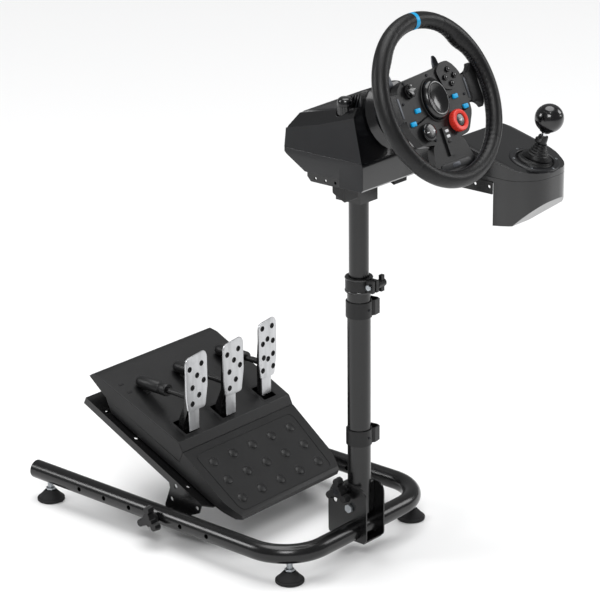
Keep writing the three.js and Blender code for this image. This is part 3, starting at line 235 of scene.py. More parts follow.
def make_materials():
    """Make every finish. The patterns' sizes are in metres."""
    looks = bpy.context.scene.stand_finishes

    # Powder-coated steel tube and sheet: a semi-gloss skin with a fine orange-peel ripple and faint scuffs.
    tree, shader, where = start("powder_coated_steel", looks.steel, roughness=0.24, ior=1.5, specular=0.5)
    scuff = grain(tree, where, 0.045, 4.0, 0.6)
    dress(tree, shader, tones_of(looks.steel, scuff, 0.75, 1.35), (scuff, 0.16, 0.3),
          [(grain(tree, where, looks.coat_grain), 0.07, 0.0004)])

    # Polished injection-moulded ABS: piano black with hairline wipe marks that only change its gloss.
    tree, shader, where = start("polished_black_abs", looks.shell, roughness=0.16, ior=1.54, coat=0.4,
                                specular=0.4)
    wipe = grain(tree, where, 0.003, 5.0, 0.7, (1.0, 0.12, 1.0))
    haze = grain(tree, where, 0.06, 3.0)
    mixed = add(tree, "ShaderNodeMath", {1: 0.5}, {0: wipe, 2: haze}, operation="MULTIPLY_ADD")
    dress(tree, shader, tones_of(looks.shell, haze, 0.8, 1.3), (mixed.outputs[0], 0.10, 0.27),
          [(haze, 0.05, 0.0006)])

    # Satin painted side panels: a softer, greyer skin than the polished top.
    tree, shader, where = start("satin_side_panel", looks.side, roughness=0.38, ior=1.5)
    cloud = grain(tree, where, 0.05, 3.0)
    dress(tree, shader, tones_of(looks.side, cloud, 0.85, 1.2), (cloud, 0.32, 0.46),
          [(grain(tree, where, 0.0012), 0.08, 0.0003)])

    # Spark-textured ABS mouldings: matt grain of pits 1.6 mm apart, worn a little smoother in patches.
    tree, shader, where = start("grained_black_abs", looks.moulded, roughness=0.5, ior=1.54)
    pits = add(tree, "ShaderNodeTexVoronoi", {"Scale": 1 / 0.0016, "Randomness": 1.0},
               {"Vector": where}, feature="SMOOTH_F1")
    worn = grain(tree, where, 0.07, 4.0, 0.55)
    dress(tree, shader, tones_of(looks.moulded, worn, 0.8, 1.4), (worn, 0.34, 0.52),
          [(pits.outputs["Distance"], 0.22, 0.0005)])

    # Leather: pebbled grain with finer creases across it, darker in the pores and glossier where held.
    tree, shader, where = start("grained_leather", looks.hide, roughness=0.45, ior=1.48)
    bent = add(tree, "ShaderNodeTexNoise", {"Scale": 180.0, "Detail": 3.0}, {"Vector": where})
    moved = add(tree, "ShaderNodeVectorMath", {3: 0.0016}, {0: bent.outputs["Color"]}, operation="SCALE")
    sum_of = add(tree, "ShaderNodeVectorMath", None, {0: moved.outputs[0], 1: where}, operation="ADD")
    placed = sum_of.outputs[0]
    pebble = add(tree, "ShaderNodeTexVoronoi", {"Scale": 1 / looks.hide_grain},
                 {"Vector": placed}, feature="DISTANCE_TO_EDGE")
    crease = grain(tree, placed, 0.009, 6.0, 0.65)
    dress(tree, shader, tones_of(looks.hide, crease, 0.7, 1.5), (grain(tree, where, 0.05), 0.28, 0.46),
          [(pebble.outputs["Distance"], 0.45, 0.0006), (crease, 0.35, 0.0012)])

    # Waxed thread: twisted strands in relief. Its grey, lighter than the leather that it closes, and its light
    # bands on the strands' crowns are painted highlight on dark stitches.
    tree, shader, where = start("waxed_thread_painted_highlight", "#2c2c2f", roughness=0.6)
    # The light bands of the twist are painted highlights on the stitches, and the dark bands are painted shade
    # between the strands.
    wave = add(tree, "ShaderNodeTexWave", {"Scale": 900.0, "Distortion": 2.0}, {"Vector": where})
    twist_highlight = wave.outputs["Fac"]
    dress(tree, shader, (twist_highlight, "#1c1c1e", "#48484c"), None, [(twist_highlight, 0.4, 0.0003)])

    # Vulcanised rubber: matt, slightly dusty on its broad faces.
    tree, shader, where = start("matt_rubber", "#0f0f10", roughness=0.72, ior=1.52)
    dust = grain(tree, where, 0.02, 5.0, 0.6)
    dress(tree, shader, (dust, "#0b0b0c", "#1e1e1f"), (dust, 0.6, 0.85),
          [(grain(tree, where, 0.0013), 0.2, 0.0004)])

    # Brushed stainless plate: hairlines up and down the plate, with broader streaks of gloss.
    tree, shader, where = start("brushed_stainless", looks.plate, metallic=1.0, roughness=0.32)
    hairs = grain(tree, where, 0.0012, 4.0, 0.7, (1.0, 1.0, 0.03))
    streak = grain(tree, where, 0.012, 3.0, stretch=(1.0, 1.0, 0.15))
    dress(tree, shader, tones_of(looks.plate, streak, 0.82, 1.1), (hairs, 0.24, 0.44), [(hairs, 0.12, 0.0003)])

    # Zinc-plated bolts and screws: pale grey metal with a cloudy bluish passivated skin.
    tree, shader, where = start("zinc_plated_steel", "#a4a8ad", metallic=1.0, roughness=0.34)
    cloud = grain(tree, where, 0.004, 4.0)
    dress(tree, shader, (cloud, "#8b9096", "#bcc0c2"), (cloud, 0.26, 0.48), [(cloud, 0.08, 0.0002)])

    # Blackened screws in the housings: phosphate finish, nearly matt.
    tree, shader, where = start("blackened_steel", "#26272a", metallic=0.8, roughness=0.4)
    cloud = grain(tree, where, 0.003, 3.0)
    dress(tree, shader, (cloud, "#1b1c1f", "#37383c"), (cloud, 0.3, 0.55), [(cloud, 0.1, 0.0002)])

    # Polished chrome of the lever: mirror skin with faint handling marks.
    tree, shader, where = start("polished_chrome", "#d4d5d7", metallic=1.0, roughness=0.1)
    smear = grain(tree, where, 0.01, 4.0)
    dress(tree, shader, (smear, "#c5c6c9", "#dfe0e1"), (smear, 0.05, 0.2))

    # Brushed dark aluminium of the paddles: anodised nearly black, brushed lengthwise.
    tree, shader, where = start("anodised_aluminium", "#4b4d51", metallic=1.0, roughness=0.36)
    lines = grain(tree, where, 0.0012, 4.0, 0.7, (0.04, 1.0, 1.0))
    dress(tree, shader, (lines, "#3a3c40", "#5e6064"), (lines, 0.28, 0.5), [(lines, 0.1, 0.0002)])

    # Coloured button mouldings: satin ABS, faintly mottled by its pigment.
    for name, code in (("blue_abs", looks.blue), ("red_abs", looks.red), ("white_abs", "#c9cacc")):
        tree, shader, where = start(name, code, roughness=0.34, ior=1.54)
        mottle = grain(tree, where, 0.004, 3.0)
        dress(tree, shader, tones_of(code, mottle, 0.88, 1.08), (mottle, 0.28, 0.42), [(mottle, 0.06, 0.0003)])


# ---------- mesh helpers ----------
def matter(bm, name, matrix, material, body, replaces=(), angle=32.0, outward=True):
    """Make a finished piece of a mesh: placed, faced outwards, shaded, and riding on its body if it has one."""
    bmesh.ops.transform(bm, matrix=matrix, verts=bm.verts)
    if outward:
        bmesh.ops.recalc_face_normals(bm, faces=bm.faces)
    mesh = bpy.data.meshes.new(name)
    bm.to_mesh(mesh)
    bm.free()
    return keep(mesh, name, material, body, replaces, angle)


def keep(mesh, name, material, body, replaces=(), angle=32.0):
    """Make an object of a placed mesh, with its finish and shading, riding on its body if it has one."""
    if material:
        mesh.materials.clear()
        mesh.materials.append(MATERIALS[material])
    if angle is not None:
        mesh.shade_smooth()
        mesh.set_sharp_from_angle(angle=math.radians(angle))
    piece = bpy.data.objects.new(name, mesh)
    bpy.context.collection.objects.link(piece)
    if replaces:
        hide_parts(*replaces)
    if body:
        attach(piece, body)
    return piece


def skin(bm, low, high):
    """Faces between two rings of as many vertices."""
    count = len(low)
    for k in range(count):
        n = (k + 1) % count
        bm.faces.new((low[k], low[n], high[n], high[k]))


def hexagon(radius):
    """The outline of a nut, from its middle to its corners."""
    return [(radius * math.cos(math.pi / 3 * k), radius * math.sin(math.pi / 3 * k)) for k in range(6)]


def lathe(profile, sides=64, flatten=1.0, bm=None, matrix=None):
    """Turn [radius, height] pairs about Z. A radius of 0 closes the shape on the axis."""
    part = bmesh.new()
    rings = []
    for radius, height in profile:
        if radius == 0:
            rings.append([part.verts.new((0, 0, height))])
            continue
        rings.append([
            part.verts.new((radius * flatten * math.cos(2 * math.pi * k / sides),
                            radius * math.sin(2 * math.pi * k / sides), height))
            for k in range(sides)
        ])
    pairs = list(zip(rings, rings[1:]))
    if len(rings[0]) > 1 and len(rings[-1]) > 1:
        pairs.append((rings[-1], rings[0]))
    for low, high in pairs:
        if len(low) > 1 and len(high) > 1:
            skin(part, low, high)
            continue
        for k in range(sides if len(low) != len(high) else 0):
            n = (k + 1) % sides
            if len(low) == 1:
                part.faces.new((low[0], high[n], high[k]))
            else:
                part.faces.new((low[k], low[n], high[0]))
    if matrix is not None:
        bmesh.ops.transform(part, matrix=matrix, verts=part.verts)
    if bm is None:
        return part
    merge(bm, part)
    return bm


def merge(bm, part):
    """Add one mesh to another."""
    held = bpy.data.meshes.new("held")
    part.to_mesh(held)
    part.free()
    bm.from_mesh(held)
    bpy.data.meshes.remove(held)
    return bm


def rounded(points, radius, steps=5):
    """An outline with its corners rounded."""
    out = []
    count = len(points)
    for i, (x, y) in enumerate(points):
        here = Vector((x, y))
        sides = [Vector(points[(i + d) % count]) - here for d in (-1, 1)]
        ends = [here + s.normalized() * min(radius, s.length * 0.45) for s in sides]
        for k in range(steps + 1):
            t = k / steps
            out.append(((1 - t) ** 2 * ends[0] + 2 * t * (1 - t) * here + t * t * ends[1])[:])
    return out


def prism(points, low, high, edge=0.6, radius=0.0, bm=None, matrix=None):
    """A plate with the given outline, its rims rounded."""
    part = bmesh.new()
    if radius:
        points = rounded(points, radius)
    base = part.faces.new([part.verts.new((x, y, low)) for x, y in points])
    grown = bmesh.ops.extrude_face_region(part, geom=[base])
    top = [v for v in grown["geom"] if isinstance(v, bmesh.types.BMVert)]
    bmesh.ops.translate(part, vec=(0, 0, high - low), verts=top)
    bmesh.ops.recalc_face_normals(part, faces=part.faces)
    if edge:
        rims = [e for e in part.edges if abs(e.verts[0].co.z - e.verts[1].co.z) < 1e-6]
        bmesh.ops.bevel(part, geom=rims, offset=edge, segments=3, profile=0.5, affect="EDGES")
    if matrix is not None:
        bmesh.ops.transform(part, matrix=matrix, verts=part.verts)
    if bm is None:
        return part
    merge(bm, part)
    return bm


def evaluated(piece, name):
    """The mesh of an object with its modifiers, which are removed with the object."""
    graph = bpy.context.evaluated_depsgraph_get()
    mesh = bpy.data.meshes.new_from_object(piece.evaluated_get(graph))
    mesh.name = name
    held = piece.data
    bpy.data.objects.remove(piece)
    if held.users == 0:
        bpy.data.meshes.remove(held)
    return mesh


def temporary(bm, name="held"):
    mesh = bpy.data.meshes.new(name)
    bm.to_mesh(mesh)
    bm.free()
    made = bpy.data.objects.new(name, mesh)
    bpy.context.collection.objects.link(made)
    return made


def carve(bm, tool):
    """Cut one mesh out of another."""
    body, cutter = temporary(bm), temporary(tool)
    change = body.modifiers.new("cut", "BOOLEAN")
    change.object = cutter
    change.operation = "DIFFERENCE"
    change.solver = "EXACT"
    mesh = evaluated(body, "held")
    held = cutter.data
    bpy.data.objects.remove(cutter)
    bpy.data.meshes.remove(held)
    out = bmesh.new()
    out.from_mesh(mesh)
    bpy.data.meshes.remove(mesh)
    return out


def soften(node, width, material, segments=3, side=None, tool=None):
    """A copy of a CAD node's shape with its edges rounded, standing for the node."""
    bm = bmesh.new()
    bm.from_mesh(frame["nodes"][node].data)
    bmesh.ops.remove_doubles(bm, verts=bm.verts, dist=1e-6)
    if tool:
        bm = carve(bm, tool)
    bmesh.ops.dissolve_limit(bm, angle_limit=math.radians(0.6), verts=bm.verts, edges=bm.edges)
    held = temporary(bm)
    held.data.shade_smooth()
    change = held.modifiers.new("edges", "BEVEL")
    change.width = width / 1000
    change.segments = segments
    change.limit_method = "ANGLE"
    change.angle_limit = math.radians(24)
    change.use_clamp_overlap = True
    change.miter_outer = "MITER_ARC"
    change.harden_normals = True
    weigh = held.modifiers.new("normals", "WEIGHTED_NORMAL")
    weigh.weight = 100
    piece = keep(evaluated(held, node), f"{node}_finished", material, BODY_OF[node], (node,), None)
    if side:
        piece.data.materials.append(MATERIALS[side])
        for face in piece.data.polygons:
            if abs(face.normal.x) > 0.9:
                face.material_index = 1
    return piece


# ---------- geometry node trees for what repeats ----------
def node_tree(name, inputs):
    """An empty geometry tree with its named inputs and one geometry output."""
    tree = bpy.data.node_groups.new(name, "GeometryNodeTree")
    tree.interface.new_socket("Geometry", in_out="INPUT", socket_type="NodeSocketGeometry")
    for label, kind, value in inputs:
        made = tree.interface.new_socket(label, in_out="INPUT", socket_type=kind)
        if value is not None:
            made.default_value = value
    tree.interface.new_socket("Geometry", in_out="OUTPUT", socket_type="NodeSocketGeometry")
    return tree, add(tree, "NodeGroupInput").outputs


def close_tree(tree, source, material):
    """End a tree in real geometry with its material set."""
    real = add(tree, "GeometryNodeRealizeInstances", None, {0: source})
    paint = add(tree, "GeometryNodeSetMaterial", None, {"Geometry": real.outputs[0], "Material": material})
    add(tree, "NodeGroupOutput", None, {0: paint.outputs[0]})
    return tree


def grow(tree, seed, values, name, material, body, matrix):
    """Run a geometry tree on a seed mesh and keep the result as a plain piece."""
    held = temporary(seed)
    change = held.modifiers.new("grow", "NODES")
    change.node_group = tree
    sockets = {s.name: s.identifier for s in tree.interface.items_tree if s.in_out == "INPUT"}
    for label, value in {**values, "Material": MATERIALS[material]}.items():
        change[sockets[label]] = value
    mesh = evaluated(held, name)
    bm = bmesh.new()
    bm.from_mesh(mesh)
    bpy.data.meshes.remove(mesh)
    return matter(bm, name, matrix, material, body)


def points(places, facing=(0, 0, 1)):
    """Loose vertices with a direction each, for a tree to set its instances on."""
    bm = bmesh.new()
    layer = bm.verts.layers.float_vector.new("facing")
    for place in places:
        where, way = place if isinstance(place[0], (tuple, list, Vector)) else (place, facing)
        bm.verts.new(where)[layer] = Vector(way)
    return bm


def on_points(tree, inputs, shape):
    """Set a shape on each of the seed's points, turned to the point's own direction."""
    way = add(tree, "GeometryNodeInputNamedAttribute", {"Name": "facing"}, data_type="FLOAT_VECTOR")
    turn = add(tree, "FunctionNodeAlignRotationToVector", None, {"Vector": way.outputs[0]}, axis="Z")
    dots = add(tree, "GeometryNodeMeshToPoints", None, {"Mesh": inputs["Geometry"]})
    set_on = add(tree, "GeometryNodeInstanceOnPoints", None,
                 {"Points": dots.outputs[0], "Instance": shape, "Rotation": turn.outputs[0]})
    return set_on.outputs[0]


def on_ring(tree, inputs, shape):
    """Set a shape round a ring, each turned to face outwards."""
    ring = add(tree, "GeometryNodeMeshCircle", None,
               {"Vertices": inputs["Count"], "Radius": inputs["Ring radius"]})
    place = add(tree, "GeometryNodeInputPosition")
    turn = add(tree, "FunctionNodeAlignRotationToVector", None, {"Vector": place.outputs[0]}, axis="X")
    set_on = add(tree, "GeometryNodeInstanceOnPoints", None,
                 {"Points": ring.outputs[0], "Instance": shape, "Rotation": turn.outputs[0]})
    return set_on.outputs[0]


def stretched_ball(tree, ball, x, y, z):
    """A sphere node's shape drawn out to three sizes."""
    size = add(tree, "ShaderNodeCombineXYZ", None, {"X": x, "Y": y, "Z": z})
    made = add(tree, "GeometryNodeTransform", None, {"Geometry": ball.outputs[0], "Scale": size.outputs[0]})
    return made.outputs[0]


def screw_tree():
    """Pan-head screws with a hexagon recess."""
    tree, inputs = node_tree("screws", [
        ("Head radius", "NodeSocketFloat", 4.0), ("Head height", "NodeSocketFloat", 2.4),
        ("Material", "NodeSocketMaterial", None),
    ])
    head = add(tree, "GeometryNodeMeshCone", {"Vertices": 20},
               {"Radius Bottom": inputs["Head radius"], "Depth": inputs["Head height"]})
    slim = add(tree, "ShaderNodeMath", {1: 0.82}, {0: inputs["Head radius"]}, operation="MULTIPLY")
    tree.links.new(slim.outputs[0], head.inputs["Radius Top"])
    key = add(tree, "ShaderNodeMath", {1: 0.45}, {0: inputs["Head radius"]}, operation="MULTIPLY")
    hexagon = add(tree, "GeometryNodeMeshCylinder", {"Vertices": 6},
                  {"Radius": key.outputs[0], "Depth": inputs["Head height"]})
    lift = add(tree, "ShaderNodeCombineXYZ", None, {"Z": inputs["Head height"]})
    raised = add(tree, "GeometryNodeTransform", None,
                 {"Geometry": hexagon.outputs[0], "Translation": lift.outputs[0]})
    recess = add(tree, "GeometryNodeMeshBoolean", None, {0: head.outputs[0], 1: raised.outputs[0]},
                 operation="DIFFERENCE", solver="EXACT")
    return close_tree(tree, on_points(tree, inputs, recess.outputs[0]), inputs["Material"])


def dome_tree():
    """Low round studs with a flat foot."""
    tree, inputs = node_tree("domes", [
        ("Radius", "NodeSocketFloat", 9.0), ("Rise", "NodeSocketFloat", 1.6),
        ("Material", "NodeSocketMaterial", None),
    ])
    ball = add(tree, "GeometryNodeMeshUVSphere", {"Segments": 24, "Rings": 12, "Radius": 1.0})
    flat = stretched_ball(tree, ball, inputs["Radius"], inputs["Radius"], inputs["Rise"])
    return close_tree(tree, on_points(tree, inputs, flat), inputs["Material"])


def rib_tree():
    """Rounded ribs round a ring, such as knurling on a knob."""
    tree, inputs = node_tree("ribs", [
        ("Count", "NodeSocketInt", 24), ("Ring radius", "NodeSocketFloat", 14.0),
        ("Width", "NodeSocketFloat", 1.6), ("Depth", "NodeSocketFloat", 1.6),
        ("Height", "NodeSocketFloat", 12.0), ("Material", "NodeSocketMaterial", None),
    ])
    block = add(tree, "GeometryNodeMeshUVSphere", {"Segments": 10, "Rings": 8, "Radius": 0.5})
    rib = stretched_ball(tree, block, inputs["Depth"], inputs["Width"], inputs["Height"])
    return close_tree(tree, on_ring(tree, inputs, rib), inputs["Material"])


def row_tree():
    """A row of long slots with round ends."""
    tree, inputs = node_tree("slots", [
        ("Count", "NodeSocketInt", 6), ("Step", "NodeSocketVector", (0.0, 7.0, 0.0)),
        ("Size", "NodeSocketVector", (20.0, 3.0, 2.0)), ("Material", "NodeSocketMaterial", None),
    ])
    line = add(tree, "GeometryNodeMeshLine", None, {"Count": inputs["Count"], "Offset": inputs["Step"]})
    ball = add(tree, "GeometryNodeMeshCube", {"Size": (1.0, 1.0, 1.0)})
    soft = add(tree, "GeometryNodeSubdivisionSurface", {"Level": 2, "Edge Crease": 0.6},
               {"Mesh": ball.outputs[0]})
    sized = add(tree, "GeometryNodeTransform", None, {"Geometry": soft.outputs[0], "Scale": inputs["Size"]})
    set_on = add(tree, "GeometryNodeInstanceOnPoints", None,
                 {"Points": line.outputs[0], "Instance": sized.outputs[0]})
    return close_tree(tree, set_on.outputs[0], inputs["Material"])


def stitch_tree():
    """Slanted stitches round the inside of a ring."""
    tree, inputs = node_tree("stitches", [
        ("Count", "NodeSocketInt", 160), ("Ring radius", "NodeSocketFloat", 120.0),
        ("Length", "NodeSocketFloat", 6.0), ("Thickness", "NodeSocketFloat", 1.1),
        ("Slant", "NodeSocketFloat", 0.5), ("Material", "NodeSocketMaterial", None),
    ])
    bead = add(tree, "GeometryNodeMeshUVSphere", {"Segments": 8, "Rings": 8, "Radius": 0.5})
    thread = stretched_ball(tree, bead, inputs["Thickness"], inputs["Thickness"], inputs["Length"])
    lean = add(tree, "ShaderNodeCombineXYZ", None, {"X": inputs["Slant"]})
    leant = add(tree, "GeometryNodeTransform", None, {"Geometry": thread, "Rotation": lean.outputs[0]})
    return close_tree(tree, on_ring(tree, inputs, leant.outputs[0]), inputs["Material"])


TREES = {}


def tree_named(name):
    """The geometry tree of that name, made when it is first asked for."""
    makers = {"screws": screw_tree, "domes": dome_tree, "ribs": rib_tree, "slots": row_tree,
              "stitches": stitch_tree}
    if name not in TREES:
        TREES[name] = makers[name]()
    return TREES[name]


def screws(places, radius, height, name, material, body, matrix, facing=(0, 0, 1)):
    """Set screw heads on the given places."""
    return grow(tree_named("screws"), points(places, facing),
                {"Head radius": radius, "Head height": height}, name, material, body, matrix)


# ---------- stand ----------
LEG_X = 196
BEND_R = 83
LEG_END = 640
TUBE_Z = 53
TUBE_R = 17.5
TUBE_WALL = 1.5
HOLES = [185 + 64.6 * k for k in range(6)]
# Each end's foot: its distance from the middle, and its place along the base. The front ones stand halfway
# round the bends.
HALF_BEND = BEND_R * (1 - math.sqrt(0.5))
FEET = {"front": (LEG_X - HALF_BEND, HALF_BEND), "rear": (LEG_X, 604)}
# The column's middle, its pivot, and the clamping bolt on an arc about that pivot.
COLUMN_Y = 7
PIVOT_Z = 95
LOCK_ARC = 36
LOCK_Y = COLUMN_Y + LOCK_ARC * math.cos(math.radians(62))
LOCK_Z = PIVOT_Z + LOCK_ARC * math.sin(math.radians(62))


class STAND_OT_base(bpy.types.Operator):
    """Make the U-shaped base tube with its end plugs"""

    bl_idname = "stand.base"
    bl_label = "Base tube"

    def execute(self, context):
        along_leg = (84, 160, 300, 480, LEG_END)
        path = [(Vector((-LEG_X, y, TUBE_Z)), Vector((0, -1, 0))) for y in along_leg[::-1]]
        for side, order in ((-1, range(25)), (1, range(24, -1, -1))):
            for k in order:
                turn = math.pi / 2 * k / 24
                centre = Vector((side * (LEG_X - BEND_R), BEND_R, TUBE_Z))
                out = Vector((side * math.cos(turn), -math.sin(turn), 0))
                along = Vector((-side * math.sin(turn), -math.cos(turn), 0)) * (1 if side < 0 else -1)
                path.append((centre + out * BEND_R, along))
        path += [(Vector((LEG_X, y, TUBE_Z)), Vector((0, 1, 0))) for y in along_leg]
        bm = bmesh.new()
        rings = []
        for radius in (TUBE_R, TUBE_R - TUBE_WALL):
            walls = []
            for centre, along in path:
                across = along.cross(Vector((0, 0, 1)))
                walls.append([
                    bm.verts.new(centre + radius * (across * math.cos(a) + Vector((0, 0, math.sin(a)))))
                    for a in (2 * math.pi * k / 40 for k in range(40))
                ])
            rings.append(walls)
        for walls in rings:
            for low, high in zip(walls, walls[1:]):
                skin(bm, low, high)
        for end in (0, -1):
            skin(bm, rings[0][end], rings[1][end])
        bmesh.ops.recalc_face_normals(bm, faces=bm.faces)
        tool = bmesh.new()
        for side in (-1, 1):
            for y in HOLES:
                lathe([(0, -24), (4.5, -24), (4.5, 24), (0, 24)], 20, bm=tool,
                      matrix=at(side * LEG_X, y, TUBE_Z) @ ALONG_X)
            for x, y in FEET.values():
                lathe([(0, -24), (5.7, -24), (5.7, -10), (0, -10)], 32, bm=tool,
                      matrix=at(side * x, y, TUBE_Z))
        matter(carve(bm, tool), "base_tube_coated", BUILD, "powder_coated_steel", "base", ("base_tube",))
        plugs = bmesh.new()
        for side in (-1, 1):
            lathe([(0, 616), (15.8, 616), (15.8, 638.6), (17.2, 638.8), (17.2, 639.5), (15, 639.9), (0, 640)],
                  40, bm=plugs, matrix=at(side * LEG_X, 0, TUBE_Z) @ ALONG_Y)
        matter(plugs, "base_end_plugs", BUILD, "grained_black_abs", "base")
        return {"FINISHED"}


class STAND_OT_feet(bpy.types.Operator):
    """Make the four levelling feet with their studs and nuts"""

    bl_idname = "stand.feet"
    bl_label = "Levelling feet"

    def execute(self, context):
        cone = [(0, 0.2), (25, 0), (26, 1), (26, 4.6), (24.8, 6), (22.5, 6.6), (21.8, 8.2), (13.5, 17.2),
                (12, 18.4), (11.4, 19.8), (10.6, 20.5), (0, 20.6)]
        for side, sign in SIDES:
            for end, (x, y) in FEET.items():
                body = f"foot_{end}_{side}"
                place = BUILD @ at(sign * x, y, 0)
                matter(lathe(cone, 64), f"{body}_pad", place, "matt_rubber", body, (body,))
                stud = lathe([(0, 20), (5, 20), (5, 48), (4, 49), (0, 49)], 32)
                for k in range(6):
                    z = 25.8 + 1.5 * k
                    lathe([(4.6, z), (5.35, z + 0.5), (4.6, z + 1.0)], 32, bm=stud)
                matter(stud, f"{body}_stud", place, "zinc_plated_steel", body)
                matter(prism(hexagon(9.2), 20.5, 25.2, 0.8), f"{body}_nut", place, "zinc_plated_steel", body)
        return {"FINISHED"}


class STAND_OT_bracket(bpy.types.Operator):
    """Make the column's bracket, its pivot bolt and all the clamping knobs"""

    bl_idname = "stand.bracket"
    bl_label = "Bracket and knobs"

    def execute(self, context):
        edge = context.scene.stand_sizes.bevel * 1000
        soften("column_bracket", edge, "powder_coated_steel")
        soften("pivot_bolt", 0.7, "zinc_plated_steel")
        for node in ("tilt_knob_left", "tilt_knob_right", "tray_knob_left", "tray_knob_right"):
            soften(node, 1.6, "grained_black_abs", 4)
        for side, sign in SIDES:
            cap = [(0, 0), (6.2, 0), (6.2, 0.9), (4.6, 1.4), (4.0, 0.5), (0, 0.5)]
            turn = ALONG_X if sign > 0 else ALONG_X.inverted()
            matter(lathe(cap, 32), f"tilt_knob_{side}_cap", BUILD @ at(sign * 45.6, LOCK_Y, LOCK_Z) @ turn,
                   "blackened_steel", f"tilt_knob_{side}")
            matter(lathe(cap, 32), f"tray_knob_{side}_cap",
                   BUILD @ at(sign * (LEG_X + TUBE_R + 18.5), HOLES[2], TUBE_Z) @ turn,
                   "blackened_steel", f"tray_knob_{side}")
            washer = [(4.6, 0), (11.5, 0), (11.5, 0.25), (4.6, 0.25)]
            matter(lathe(washer, 32), f"tilt_washer_{side}",
                   BUILD @ at(sign * 26.02, LOCK_Y, LOCK_Z) @ turn, "zinc_plated_steel", f"tilt_knob_{side}")
        return {"FINISHED"}


class STAND_OT_column(bpy.types.Operator):
    """Make the telescoping column, its collar, wing screw and cable clips"""

    bl_idname = "stand.column"
    bl_label = "Column"

    def execute(self, context):
        tube = lathe([(20.7, 82), (20.7, 514.4), (20.3, 515), (18.7, 515), (18.7, 82)], 72,
                     matrix=at(0, COLUMN_Y, 0))
        foot = [(-11, 80), (25, 80), (LOCK_Y + 12, LOCK_Z - 4), (LOCK_Y + 8, LOCK_Z + 12), (-9, LOCK_Z + 12)]
        prism(foot, -22.7, 22.7, 0.8, 6, bm=tube, matrix=SIDE_ON)
        matter(tube, "outer_column_coated", BUILD, "powder_coated_steel", "column", ("outer_column",))
        inner = lathe([(17.5, 330), (17.5, 724.7), (16, 724.7), (16, 330)], 72, matrix=at(0, COLUMN_Y, 0))
        matter(inner, "inner_column_coated", BUILD, "powder_coated_steel", "head", ("inner_column",))
        for node, width in (("cable_clip_upper", 0.5), ("cable_clip_lower", 0.5), ("height_collar", 0.6),
                            ("height_knob", 1.2)):
            soften(node, width, "grained_black_abs")
        ring = lathe([(20.9, 499.6), (24.6, 499.6), (25, 500.2), (25, 502.4), (24.6, 503), (20.9, 503)], 72,
                     matrix=at(0, COLUMN_Y, 0))
        lathe([(18, 523), (24.6, 523), (25, 523.6), (25, 525.6), (24, 526.8), (18.4, 526.8)], 72, bm=ring,
              matrix=at(0, COLUMN_Y, 0))
        matter(ring, "collar_rings", BUILD, "polished_black_abs", "column")
        matter(prism(hexagon(5.6), 9.4, 13.4, 0.5), "height_nut",
               BUILD @ at(0, -23.7, 514) @ ALONG_X.inverted(), "zinc_plated_steel", "column")
        places = [((0, -16.3, z), (0, -1, 0)) for z in (227.5, 467.5)]
        screws(places, 2.6, 1.4, "clip_screws", "blackened_steel", "column", BUILD)
        return {"FINISHED"}


# ---------- wheel unit ----------
class STAND_OT_wheel_unit(bpy.types.Operator):
    """Make the wheel unit's shells, vents, deck and clamps"""

    bl_idname = "stand.wheel_unit"
    bl_label = "Wheel unit"

    def execute(self, context):
        edge = context.scene.stand_sizes.bevel * 1000
        soften("wheel_deck", edge, "powder_coated_steel")
        vents = bmesh.new()
        for sign in (-1, 1):
            for k in range(6):
                y = -38 + 6.4 * k
                prism([(-12, -1.5), (12, -1.5), (12, 1.5), (-12, 1.5)], -3.6, 10, 0, 1.4, bm=vents,
                      matrix=BUILD @ at(sign * 53, y, 844.2 - 0.29 * y) @ Matrix.Rotation(sign * 0.8, 4, "Y"))
        soften("base_upper_shell", 2.2, "polished_black_abs", 4, side="satin_side_panel", tool=vents)
        soften("base_lower_shell", 1.6, "polished_black_abs", 4, side="satin_side_panel")
        for side, sign in SIDES:
            place = BUILD @ at(sign * 66, -19, 0)
            body = f"clamp_knob_{side}"
            knob = lathe([(0, 828.6), (13.6, 828.6), (14, 829.2), (14, 832), (13.2, 832.8), (13.2, 850),
                          (14, 851), (14, 855), (13.2, 859), (11.4, 862), (8.6, 863.8), (0, 864.6)], 64)
            lathe([(0, 691), (4, 691), (4, 830), (0, 830)], 32, bm=knob)
            matter(knob, f"{body}_turned", place, "polished_black_abs", body, (body,))
            grow(tree_named("ribs"), points([(0, 0, 0)]),
                 {"Count": 20, "Ring radius": 12.9, "Width": 2.2, "Depth": 1.8, "Height": 21.0},
                 f"{body}_grip", "polished_black_abs", body, place @ at(0, 0, 841.4))
            soften(f"clamp_foot_{side}", 1.2, "grained_black_abs")
        ring = [(17.8, -99.5), (17.8, -96.4), (20, -95.4), (36, -96.4), (46, -98.6), (47.5, -99.5)]
        matter(lathe(ring, 72), "boss_collar", WHEEL, "grained_black_abs", "head")
        soften("steering_shaft", 0.4, "zinc_plated_steel")
        soften("drive_motor", 0.6, "zinc_plated_steel")
        return {"FINISHED"}


# ---------- rim ----------
RIM_R = 135
GRIP = 14.5


def on_rim(a, t, r):
    """A point at angle a round the wheel, and at angle t and distance r about the rim's middle line."""
    reach = RIM_R + r * math.cos(t)
    return reach * math.cos(a), reach * math.sin(a), r * math.sin(t)


